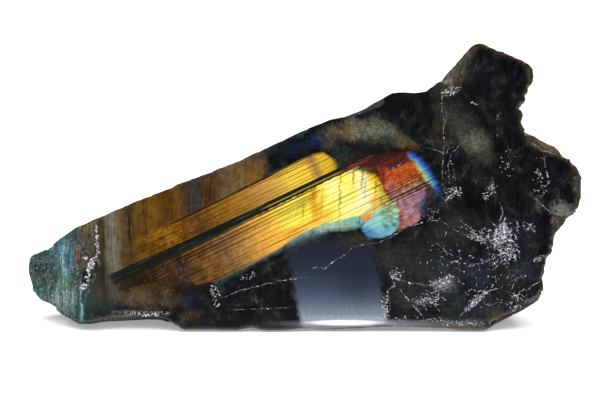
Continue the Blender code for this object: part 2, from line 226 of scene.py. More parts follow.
def inside(places, starts, ends):
    """Which places lie inside the closed lines from starts to ends, by counting the lines to their right."""
    crossings = np.zeros(len(places), int)
    for (x0, y0), (x1, y1) in zip(starts, ends):
        spans = (places[:, 1] < y0) != (places[:, 1] < y1)
        if y0 != y1:
            at = x0 + (places[:, 1] - y0) * (x1 - x0) / (y1 - y0)
            crossings += spans & (places[:, 0] < at)
    return crossings % 2 == 1


def fill_face(work, frame, polished):
    """Fills the polished face with small even triangles that share the skin's edge. Returns its rim."""
    back = frame.inverted()
    loops = boundary_loops(work)
    rim, edges = [], []
    for loop in loops:
        first = len(rim)
        rim += loop
        edges += [(first + i, first + (i + 1) % len(loop)) for i in range(len(loop))]
    flat = [(back @ v.co).xy / MM for v in rim]
    starts = np.array([flat[a] for a, _ in edges])
    ends = np.array([flat[b] for _, b in edges])
    tree = kdtree.KDTree(len(flat))
    for i, place in enumerate(flat):
        tree.insert((place.x, place.y, 0.0), i)
    tree.balance()
    grid = []
    low_u, high_u = min(p.x for p in flat), max(p.x for p in flat)
    low_v, high_v = min(p.y for p in flat), max(p.y for p in flat)
    row_height = FACE_GRID * math.sqrt(3) / 2
    for row in range(int((high_v - low_v) / row_height) + 1):
        shift = FACE_GRID / 2 * (row % 2)
        for column in range(int((high_u - low_u) / FACE_GRID) + 1):
            place = Vector((low_u + shift + column * FACE_GRID, low_v + row * row_height))
            if tree.find((place.x, place.y, 0.0))[2] > FACE_GRID * RIM_GAP:
                grid.append(place)
    kept = inside(np.array(grid), starts, ends)
    points = flat + [place for place, keep in zip(grid, kept) if keep]
    whole_area, closest = 0, 1e-5
    made = geometry.delaunay_2d_cdt(points, edges, [], whole_area, closest, True)
    places, _, faces, sources = made[:4]
    middles = np.array([sum((places[i] for i in face), Vector((0.0, 0.0))) / 3 for face in faces])
    kept = inside(middles, starts, ends)
    faces = [face for face, keep in zip(faces, kept) if keep]
    used = {i for face in faces for i in face}
    corners = {}
    for i in sorted(used):
        place, source = places[i], sources[i]
        if source and source[0] < len(rim):
            corners[i] = rim[source[0]]
        else:
            corners[i] = work.verts.new(frame @ Vector((place.x * MM, place.y * MM, 0.0)))
    for face in faces:
        if len({corners[i] for i in face}) == 3:
            fresh = work.faces.new([corners[i] for i in face])
            fresh[polished] = 1
    return loops


def wear(vertex, back, nearest):
    """How far a point of the polished face is rounded off, in millimetres. The wear swells and thins."""
    u, v, _ = (back @ vertex.co) / MM
    swell = 0.75 + 0.5 * math.sin(u * 0.9 + math.sin(v * 1.3) * 1.7) * math.sin(v * 0.8 + u * 0.23)
    worn = max(0.0, 1.0 - nearest / (WEAR_WIDTH * swell)) ** 2 * WEAR_DEPTH
    if v < FRESH_BELOW:
        worn *= FRESH_SHARE
    if LIP_FROM < u < LIP_TO and v < LIP_TOP:
        taper = min(1.0, (u - LIP_FROM) / LIP_TAPER, (LIP_TO - u) / LIP_TAPER)
        worn = max(worn, max(0.0, 1.0 - nearest / LIP_WIDTH) ** 2 * LIP_DEPTH * taper)
    return worn


def rim_inward(loop, facing):
    """The direction into the polished face from each point of its rim, smoothed over its neighbours."""
    ways = []
    for i, vertex in enumerate(loop):
        along = loop[(i + 2) % len(loop)].co - loop[i - 2].co
        ways.append(facing.cross(along).normalized())
    middle = sum((v.co for v in loop), Vector()) / len(loop)
    outward = sum(way.dot(v.co - middle) for way, v in zip(ways, loop))
    return [way * (-1.0 if outward > 0.0 else 1.0) for way in ways]


def chipped(place):
    """How far the face's edge is chipped back here, in millimetres: more on the right, where it is thin."""
    rough = 0.6 * noise.noise(place / CHIP_SPACING) + 0.4 * noise.noise(place * 2.3 / CHIP_SPACING)
    share = min(1.0, max(CHIPS_LEFT, (place.x - CHIPS_FROM) / CHIPS_OVER))
    if place.y > CLEAN_TOP:
        share *= CLEAN_SHARE
    return CHIP_DEPTH * share * min(1.0, max(0.0, 0.2 + 2.0 * rough))


def open_the_face(work, facing, back):
    """Takes the flat face's own triangles away, and cuts the skin's facets smaller."""
    flat = [
        face for face in work.faces
        if face.normal.dot(facing) > NEAR_FACING
        and all(abs((back @ v.co).z) < PLANE_TOLERANCE * MM for v in face.verts)
    ]
    bmesh.ops.delete(work, geom=flat, context="FACES")
    bmesh.ops.subdivide_edges(work, edges=work.edges[:], cuts=SKIN_CUTS, use_grid_fill=True)
    bmesh.ops.triangulate(work, faces=work.faces[:])
    work.verts.index_update()


def close_the_gaps(work, polished):
    """Slivers just outside a bend of the rim share its edges with the skin and the face: they go, and the
    small holes beside them are filled."""
    shared = {edge for edge in work.edges if len(edge.link_faces) > 2}
    strays = [
        face for face in work.faces
        if shared.intersection(face.edges) and any(len(edge.link_faces) == 1 for edge in face.edges)
    ]
    bmesh.ops.delete(work, geom=strays, context="FACES")
    gaps = [edge for edge in work.edges if len(edge.link_faces) == 1]
    for face in bmesh.ops.holes_fill(work, edges=gaps, sides=0)["faces"]:
        face[polished] = 1
    bmesh.ops.triangulate(work, faces=[face for face in work.faces if len(face.verts) > 3])
    bmesh.ops.recalc_face_normals(work, faces=work.faces)


def stone_mesh(node):
    """A fine mesh of the stone: even triangles on the polished face, the skin's facets cut smaller. Each
    point carries its distance from the face's rim and how much of the skin's relief it takes."""
    frame, lean = polished_plane(node.data)
    facing = (frame.to_3x3() @ Vector((0.0, 0.0, 1.0))).normalized()
    back = frame.inverted()
    work = bmesh.new()
    work.from_mesh(node.data)
    bmesh.ops.remove_doubles(work, verts=work.verts, dist=WELD * MM)
    open_the_face(work, facing, back)
    polished = work.faces.layers.int.new("polished")
    loops = fill_face(work, frame, polished)
    close_the_gaps(work, polished)
    inward = rim_inward(loops[0], facing)
    rim_places = [(back @ vertex.co) / MM for vertex in loops[0]]
    tree = kdtree.KDTree(len(loops[0]))
    for i, vertex in enumerate(loops[0]):
        tree.insert(vertex.co, i)
    tree.balance()
    rim_edges = {frozenset((a, b)) for loop in loops for a, b in zip(loop, loop[1:] + loop[:1])}
    distance = work.verts.layers.float.new("rim")
    skin = work.verts.layers.float.new("skin")
    moves = []
    for vertex in work.verts:
        _, nearest_index, nearest = tree.find(vertex.co)
        nearest /= MM
        edge_place = rim_places[nearest_index]
        taper = max(0.0, 1.0 - nearest / CHIP_REACH) ** 2
        if taper and edge_place.y > CHIPS_ABOVE:
            moves.append((vertex, inward[nearest_index] * chipped(edge_place) * taper * MM))
        vertex[distance] = min(nearest, RIM_REACH)
        on_face = any(face[polished] for face in vertex.link_faces)
        above_ground = vertex.co.z / MM
        vertex[skin] = 0.0 if on_face else min(1.0, nearest / SKIN_FADE, above_ground / SKIN_FADE)
        if on_face:
            moves.append((vertex, facing * -wear(vertex, back, nearest) * MM))
    for vertex, move in moves:
        vertex.co += move
    for edge in work.edges:
        rounded = len(edge.link_faces) == 2 and edge.calc_face_angle(0.0) < math.radians(SHARP_ANGLE)
        edge.smooth = rounded and frozenset(edge.verts) not in rim_edges
    for face in work.faces:
        face.smooth = True
    return finished(work, "labradorite_stone"), frame, lean


# ---------------------------------------------------------------------------------------------------------
# Relief of the broken skin
# ---------------------------------------------------------------------------------------------------------

def new_tree(name, sizes):
    """A geometry tree with one mesh in, one out, and a named input for each size."""
    tree = bpy.data.node_groups.new(name, "GeometryNodeTree")
    tree.interface.new_socket("Geometry", in_out="INPUT", socket_type="NodeSocketGeometry")
    tree.interface.new_socket("Geometry", in_out="OUTPUT", socket_type="NodeSocketGeometry")
    for label, value in sizes.items():
        kind = {int: "NodeSocketInt", float: "NodeSocketFloat", tuple: "NodeSocketVector"}[type(value)]
        tree.interface.new_socket(label, in_out="INPUT", socket_type=kind)
    return tree, tree.nodes.new("NodeGroupInput").outputs


def grow(piece, tree, sizes):
    """Runs a geometry tree on a piece with these sizes and keeps the result as its plain mesh."""
    modifier = piece.modifiers.new(tree.name, "NODES")
    modifier.node_group = tree
    for item in tree.interface.items_tree:
        if item.in_out == "INPUT" and item.name in sizes:
            modifier[item.identifier] = sizes[item.name]
    graph = bpy.context.evaluated_depsgraph_get()
    mesh = bpy.data.meshes.new_from_object(piece.evaluated_get(graph))
    piece.modifiers.clear()
    piece.data = mesh
    mesh.name = piece.name


SKIN_SIZES = {
    "Grain Height": GRAIN_HEIGHT * MM,
    "Grain Spacing": GRAIN_SPACING * MM,
    "Ledge Height": LEDGE_HEIGHT * MM,
    "Ledge Spacing": LEDGE_SPACING * MM,
    "Cleavage": CLEAVAGE_FACING,
    "Seed": 4.0,
}


def skin_relief(polished, broken):
    """Hackle and small cleavage ledges pressed into the broken skin, none of it on the polished face."""
    tree, size = new_tree("skin_relief", SKIN_SIZES)
    place = add(tree, "GeometryNodeInputPosition", {}, {})
    facing = add(tree, "GeometryNodeInputNormal", {}, {})
    share = add(tree, "GeometryNodeInputNamedAttribute", {"data_type": "FLOAT"}, {"Name": "skin"})
    grains = add(tree, "ShaderNodeMath", {"operation": "DIVIDE"}, {0: 1.0, 1: size["Grain Spacing"]})
    hackle = add(tree, "ShaderNodeTexNoise", {"noise_dimensions": "4D"}, {
        "Vector": place, "W": size["Seed"], "Scale": grains, "Detail": 3.0, "Roughness": 0.6})
    hackle = add(tree, "ShaderNodeMath", {"operation": "SUBTRACT"}, {0: hackle, 1: 0.5})
    hackle = add(tree, "ShaderNodeMath", {"operation": "MULTIPLY"}, {0: hackle, 1: size["Grain Height"]})
    up = add(tree, "ShaderNodeVectorMath", {"operation": "NORMALIZE"}, {0: size["Cleavage"]})
    along = add(tree, "ShaderNodeVectorMath", {"operation": "DOT_PRODUCT"}, {0: place, 1: up}, "Value")
    along = add(tree, "ShaderNodeMath", {"operation": "DIVIDE"}, {0: along, 1: size["Ledge Spacing"]})
    bend = add(tree, "ShaderNodeTexNoise", {"noise_dimensions": "4D"}, {
        "Vector": place, "W": size["Seed"], "Scale": BENDS_PER_METRE, "Detail": 2.0})
    along = add(tree, "ShaderNodeMath", {"operation": "MULTIPLY_ADD"}, {0: bend, 1: LEDGE_BEND, 2: along})
    ledge = add(tree, "ShaderNodeMath", {"operation": "FRACT"}, {0: along})
    ledge = add(tree, "ShaderNodeMath", {"operation": "POWER"}, {0: ledge, 1: 2.0})
    patches = add(tree, "ShaderNodeTexNoise", {"noise_dimensions": "4D"}, {
        "Vector": place, "W": size["Seed"], "Scale": PATCHES_PER_METRE, "Detail": 1.0})
    patches = add(tree, "ShaderNodeMapRange", {}, {"Value": patches, "From Min": 0.42, "From Max": 0.58})
    ledge = add(tree, "ShaderNodeMath", {"operation": "MULTIPLY"}, {0: ledge, 1: patches})
    ledge = add(tree, "ShaderNodeMath", {"operation": "MULTIPLY"}, {0: ledge, 1: size["Ledge Height"]})
    height = add(tree, "ShaderNodeMath", {"operation": "SUBTRACT"}, {0: hackle, 1: ledge})
    height = add(tree, "ShaderNodeMath", {"operation": "MULTIPLY"}, {0: height, 1: share})
    move = add(tree, "ShaderNodeVectorMath", {"operation": "SCALE"}, {0: facing, "Scale": height})
    moved = add(tree, "GeometryNodeSetPosition", {}, {"Geometry": size["Geometry"], "Offset": move})
    real = add(tree, "GeometryNodeRealizeInstances", {}, {"Geometry": moved})
    on_face = add(tree, "GeometryNodeInputNamedAttribute", {"data_type": "INT"}, {"Name": "polished"})
    skinned = add(tree, "GeometryNodeSetMaterial", {}, {"Geometry": real, "Material": broken})
    done = add(tree, "GeometryNodeSetMaterial", {}, {
        "Geometry": skinned, "Selection": on_face, "Material": polished})
    tree.links.new(done, tree.nodes.new("NodeGroupOutput").inputs["Geometry"])
    return tree


# ---------------------------------------------------------------------------------------------------------
# Coordinates and marks shared by the materials
# ---------------------------------------------------------------------------------------------------------

def face_place(tree, frame, lean):
    """Object coordinates turned to face coordinates, in millimetres."""
    turn = math.pi / 2 - lean
    place = add(tree, "ShaderNodeTexCoord", {}, {}, "Object")
    origin = Matrix.Rotation(-turn, 3, "X") @ frame.translation / MM
    return add(tree, "ShaderNodeMapping", {"vector_type": "POINT"}, {
        "Vector": place, "Location": -origin, "Rotation": (-turn, 0.0, 0.0), "Scale": (1 / MM,) * 3})


def streaked(tree, place, turn, spacing, seed=0.0, detail=4.0):
    """Noise drawn out along one direction: its grain is spacing = (along it, across it) in millimetres."""
    drawn = add(tree, "ShaderNodeMapping", {"vector_type": "TEXTURE"}, {
        "Vector": place,
        "Location": (seed, seed, 0.0),
        "Rotation": (0.0, 0.0, math.radians(turn)),
        "Scale": (*spacing, spacing[0])})
    return add(tree, "ShaderNodeTexNoise", {}, {
        "Vector": drawn, "Scale": 1.0, "Detail": detail, "Roughness": 0.6})


def feathered(tree, place, turn, spacing, amount, seed=0.0):
    """The same place slid to and fro along one direction, in strips, so an edge drawn with it is frayed."""
    slide = streaked(tree, place, turn, spacing, seed)
    slide = add(tree, "ShaderNodeMath", {"operation": "MULTIPLY_ADD"}, {
        0: slide, 1: 2.0 * amount, 2: -amount})
    way = (math.cos(math.radians(turn)), math.sin(math.radians(turn)), 0.0)
    slide = add(tree, "ShaderNodeVectorMath", {"operation": "SCALE"}, {0: way, "Scale": slide})
    return add(tree, "ShaderNodeVectorMath", {"operation": "ADD"}, {0: slide, 1: place})


def ragged(tree, place, spacing, amount):
    """The same place shifted by a noise, so that an edge drawn with it is ragged."""
    shift = add(tree, "ShaderNodeTexNoise", {}, {
        "Vector": place, "Scale": 1.0 / spacing, "Detail": 4.0, "Roughness": 0.62}, "Color")
    shift = add(tree, "ShaderNodeVectorMath", {"operation": "SUBTRACT"}, {0: shift, 1: (0.5, 0.5, 0.5)})
    return add(tree, "ShaderNodeVectorMath", {"operation": "MULTIPLY_ADD"}, {
        0: shift, 1: (2.0 * amount,) * 3, 2: place})


def parts_of(tree, vector):
    parts = tree.nodes.new("ShaderNodeSeparateXYZ")
    tree.links.new(vector, parts.inputs[0])
    return parts.outputs["X"], parts.outputs["Y"], parts.outputs["Z"]


def along_lamellae(tree, place):
    """Face coordinates turned to lamella coordinates."""
    return add(tree, "ShaderNodeMapping", {"vector_type": "POINT"}, {
        "Vector": place, "Rotation": (0.0, 0.0, -math.radians(LAMELLA_SLANT))})


def ramp(tree, value, stops):
    """Colours along a measure, from stops of (measure, hex)."""
    low, high = stops[0][0], stops[-1][0]
    share = add(tree, "ShaderNodeMapRange", {}, {"Value": value, "From Min": low, "From Max": high})
    colour = add(tree, "ShaderNodeValToRGB", {}, {"Fac": share})
    elements = colour.node.color_ramp.elements
    elements[0].color = linear(stops[0][1])
    elements[1].color = linear(stops[-1][1])
    for at, hex_colour in stops[1:-1]:
        elements.new((at - low) / (high - low)).color = linear(hex_colour)
    return colour


def side_line(tree, along, points):
    """A measure that follows a bent line: straight from each (along, value) point to the next."""
    (first, _), (last, _) = points[0], points[-1]
    low, high = min(y for _, y in points), max(y for _, y in points)
    share = add(tree, "ShaderNodeMapRange", {}, {"Value": along, "From Min": first, "From Max": last})
    bent = add(tree, "ShaderNodeFloatCurve", {}, {"Value": share})
    curve = bent.node.mapping.curves[0]
    while len(curve.points) < len(points):
        curve.points.new(0.5, 0.5)
    for spot, (x, y) in zip(curve.points, points):
        spot.handle_type = "VECTOR"
        spot.location = ((x - first) / (last - first), (y - low) / (high - low))
    bent.node.mapping.update()
    return add(tree, "ShaderNodeMapRange", {}, {"Value": bent, "To Min": low, "To Max": high})


def fades(tree, value, at, soft):
    """0 below a value and 1 above it, changing over the soft width to each side."""
    return add(tree, "ShaderNodeMapRange", {"interpolation_type": "SMOOTHSTEP"}, {
        "Value": value, "From Min": at - soft, "From Max": at + soft})


def between(tree, value, low, high, soft_low, soft_high):
    """1 where a measure lies between two values, fading over the soft widths at its two ends."""
    rise = fades(tree, value, low, soft_low)
    fall = add(tree, "ShaderNodeMapRange", {"interpolation_type": "SMOOTHSTEP"}, {
        "Value": value, "From Min": high - soft_high, "From Max": high + soft_high,
        "To Min": 1.0, "To Max": 0.0})
    return add(tree, "ShaderNodeMath", {"operation": "MULTIPLY"}, {0: rise, 1: fall})


def both(tree, one, two):
    """1 where two masks are both 1."""
    return add(tree, "ShaderNodeMath", {"operation": "MULTIPLY"}, {0: one, 1: two})


def fades_out(tree, reach, soft):
    """1 well inside a reach of 1 and 0 beyond it, changing over the soft share to each side."""
    return add(tree, "ShaderNodeMapRange", {"interpolation_type": "SMOOTHSTEP"}, {
        "Value": reach, "From Min": 1.0 - soft, "From Max": 1.0 + soft, "To Min": 1.0, "To Max": 0.0})


def beyond(tree, place, way, start):
    """How far a place lies along a direction beyond a start."""
    reach = add(tree, "ShaderNodeVectorMath", {"operation": "DOT_PRODUCT"}, {0: place, 1: way}, "Value")
    return add(tree, "ShaderNodeMath", {"operation": "SUBTRACT"}, {0: reach, 1: start})


def oval(tree, place, centre, half_size, turn, soft):
    """1 inside an oval on the face, fading out over the soft share of its size."""
    cosine, sine = math.cos(math.radians(turn)), math.sin(math.radians(turn))
    squares = 0.0
    for way, half in (((cosine, sine), half_size[0]), ((-sine, cosine), half_size[1])):
        axis = (way[0] / half, way[1] / half, 0.0)
        share = beyond(tree, place, axis, axis[0] * centre[0] + axis[1] * centre[1])
        squares = add(tree, "ShaderNodeMath", {"operation": "MULTIPLY_ADD"}, {
            0: share, 1: share, 2: squares})
    return fades_out(tree, add(tree, "ShaderNodeMath", {"operation": "SQRT"}, {0: squares}), soft)


def ball(tree, place, centre, half_size, soft):
    """1 inside a rounded patch of the stone, fading out over the soft share of its size."""
    local = add(tree, "ShaderNodeVectorMath", {"operation": "SUBTRACT"}, {0: place, 1: centre})
    local = add(tree, "ShaderNodeVectorMath", {"operation": "DIVIDE"}, {0: local, 1: half_size})
    reach = add(tree, "ShaderNodeVectorMath", {"operation": "LENGTH"}, {0: local}, "Value")
    return fades_out(tree, reach, soft)


def domain(tree, place, corners, soft):
    """1 inside a patch of the face given by its corners, with no inward bend, fading over the soft width."""
    sides = list(zip(corners, corners[1:] + corners[:1]))
    around = sum(a[0] * b[1] - b[0] * a[1] for a, b in sides)
    depth = None
    for (u0, v0), (u1, v1) in sides:
        length = math.copysign(math.hypot(u1 - u0, v1 - v0), around)
        inward = ((v0 - v1) / length, (u1 - u0) / length, 0.0)
        reach = beyond(tree, place, inward, inward[0] * u0 + inward[1] * v0)
        if depth is not None:
            reach = add(tree, "ShaderNodeMath", {"operation": "SMOOTH_MIN"}, {0: depth, 1: reach, 2: 0.4})
        depth = reach
    return fades(tree, depth, 0.0, soft)


def lay_over(tree, below, above, mask, strength=1.0, how="MIX"):
    """The colour below with the one above laid over it where the mask is 1, at this strength. A mask of 1.0
    lays it everywhere."""
    below, above = (linear(c) if isinstance(c, str) else c for c in (below, above))
    share = add(tree, "ShaderNodeMath", {"operation": "MULTIPLY", "use_clamp": True}, {0: mask, 1: strength})
    return add(tree, "ShaderNodeMix", {"data_type": "RGBA", "blend_type": how}, {
        "Factor": share, "A": below, "B": above})


# ---------------------------------------------------------------------------------------------------------
# Polished labradorite
# ---------------------------------------------------------------------------------------------------------

# Upright strips of colour between the tip and the bright zone, by u, before they drift to and fro.
STRIP_DRIFT, STRIP_SHIFT = 4.0, 4.6
STRIPS = [
    (-68.0, "#3c3829"), (-60.6, "#4a3c20"), (-59.2, "#2e2614"), (-58.0, "#666450"), (-56.0, "#7a7b6e"),
    (-54.6, "#6a674e"), (-53.6, "#62492a"), (-52.0, "#4e4030"), (-51.3, "#1c160e"), (-50.8, "#443518"),
    (-48.6, "#61481a"), (-47.4, "#5c4216"), (-46.6, "#3c2c12"), (-45.4, "#6c4a12"), (-43.6, "#705010"),
    (-41.5, "#5c3a0c"), (-39.0, "#4a2f10"), (-36.8, "#6e4a18"), (-35.0, "#4a3420"), (-33.0, "#373029"),
    (-31.2, "#333a40"), (-29.4, "#422c1c"), (-26.6, "#452a18"), (-24.4, "#584228"), (-22.4, "#5f543c"),
    (-19.8, "#685534"), (-17.4, "#6c5c3c"), (-14.8, "#7c5a28"), (-12.0, "#6a5228"),
]
# The upper gold packet above the dark band, by s, and the bent line of its upper edge.
UPPER_GOLD = [
    (-38.0, "#544018"), (-31.0, "#745212"), (-24.0, "#8c6214"), (-17.0, "#7c5018"), (-13.0, "#634422"),
    (-8.0, "#865c1a"), (-3.0, "#96691e"), (3.0, "#a3782e"), (8.0, "#b98b46"), (13.0, "#d3a845"),
    (17.5, "#eccb48"), (22.0, "#ebc23a"), (24.6, "#a07848"), (26.6, "#e0b833"), (31.0, "#d0a42c"),
]
UPPER_TOP = [(-35.0, 46.0), (26.0, 46.0), (28.6, 45.2), (31.0, 41.8)]
# The main packet under the dark band, by s, and the bent lines of its lower and upper edges.
MAIN_GOLD = [
    (-46.0, "#2c2a20"), (-38.0, "#2a1f14"), (-30.0, "#4c3419"), (-22.0, "#68461e"), (-15.0, "#80592a"),
    (-9.0, "#876541"), (-4.0, "#b98a45"), (1.0, "#dfa548"), (6.0, "#f2be4a"), (10.0, "#f9e152"),
    (14.0, "#fbee5a"), (19.0, "#f6df48"), (22.5, "#fbec5c"), (27.0, "#fff782"), (31.0, "#fdf468"),
    (35.0, "#fffba0"), (37.8, "#fff35c"), (41.0, "#f4cc3e"),
]
MAIN_FOOT = [
    (-46.0, 35.0), (-36.0, 33.0), (-26.0, 29.0), (-17.0, 25.0), (-5.0, 24.8), (5.0, 25.6), (12.0, 26.7),
    (20.0, 26.6), (24.0, 25.6), (28.6, 24.5), (34.0, 22.9), (37.5, 24.0), (42.0, 25.6),
]
MAIN_TOP = [(-46.0, 36.6), (30.0, 37.4), (36.0, 37.4), (39.6, 35.5), (42.0, 33.0)]
# The teal fringe along the main packet's foot, by s, and how far it hangs below the gold.
TEAL_FRINGE = [
    (-16.0, "#2c463e"), (-6.0, "#3c5852"), (6.0, "#4f6464"), (14.0, "#84998c"), (22.0, "#9cb8a2"),
    (28.0, "#76a494"), (34.0, "#7cb8a8"),
]
FRINGE_DEPTH = [(-20.0, 0.5), (0.0, 0.6), (12.0, 1.2), (22.0, 2.6), (28.0, 3.4), (34.0, 1.0)]
# The broad dark band between the two packets: its foot and its top by s, and its streaks.
BAND_FOOT = [(-46.0, 36.4), (-20.0, 36.7), (0.0, 37.2), (33.0, 37.8)]
BAND_TOP = [(-46.0, 40.2), (-20.0, 39.6), (10.0, 39.3), (33.0, 38.9)]
BAND_STREAKS = [(0.36, "#090b0a"), (0.56, "#121814"), (0.7, "#333a2c")]
# The rainbow arc at the end of the bright zone, by the distance from the middle of its curve, and the
# distance where it starts, by t.
RAINBOW = [
    (17.8, "#bb6a30"), (18.9, "#c8984a"), (19.3, "#b4be70"), (19.7, "#78b48c"), (20.1, "#5aa2b0"),
    (20.6, "#4078b0"), (21.1, "#2a4e9c"), (21.7, "#1b2c58"), (22.6, "#101218"),
]
RAINBOW_CENTRE = (20.1, 35.7, 0.0)
RAINBOW_START = [(18.0, 21.4), (21.0, 20.9), (24.4, 19.0), (28.0, 18.6), (31.0, 19.6), (34.0, 20.4)]
# The slate-blue domain under the bright zone, by v. It pales towards the base: its blue-grey is the domain's
# own colour, and the paling near the base is a painted reflection of the floor.
SLATE = [
    (1.0, "#646b73"), (4.2, "#9ca4b0"), (5.4, "#7e8998"), (7.8, "#637082"), (10.4, "#4b576a"),
    (13.5, "#394456"), (18.0, "#293142"), (24.0, "#1f2330"), (29.0, "#242729"),
]
# The teal domain beside the bright zone's end, by v.
TEAL = [
    (28.0, "#5289a2"), (30.0, "#74b4c4"), (32.5, "#82c4bc"), (35.0, "#94ccb4"), (37.0, "#b4d2a0"),
    (38.8, "#d4d690"),
]

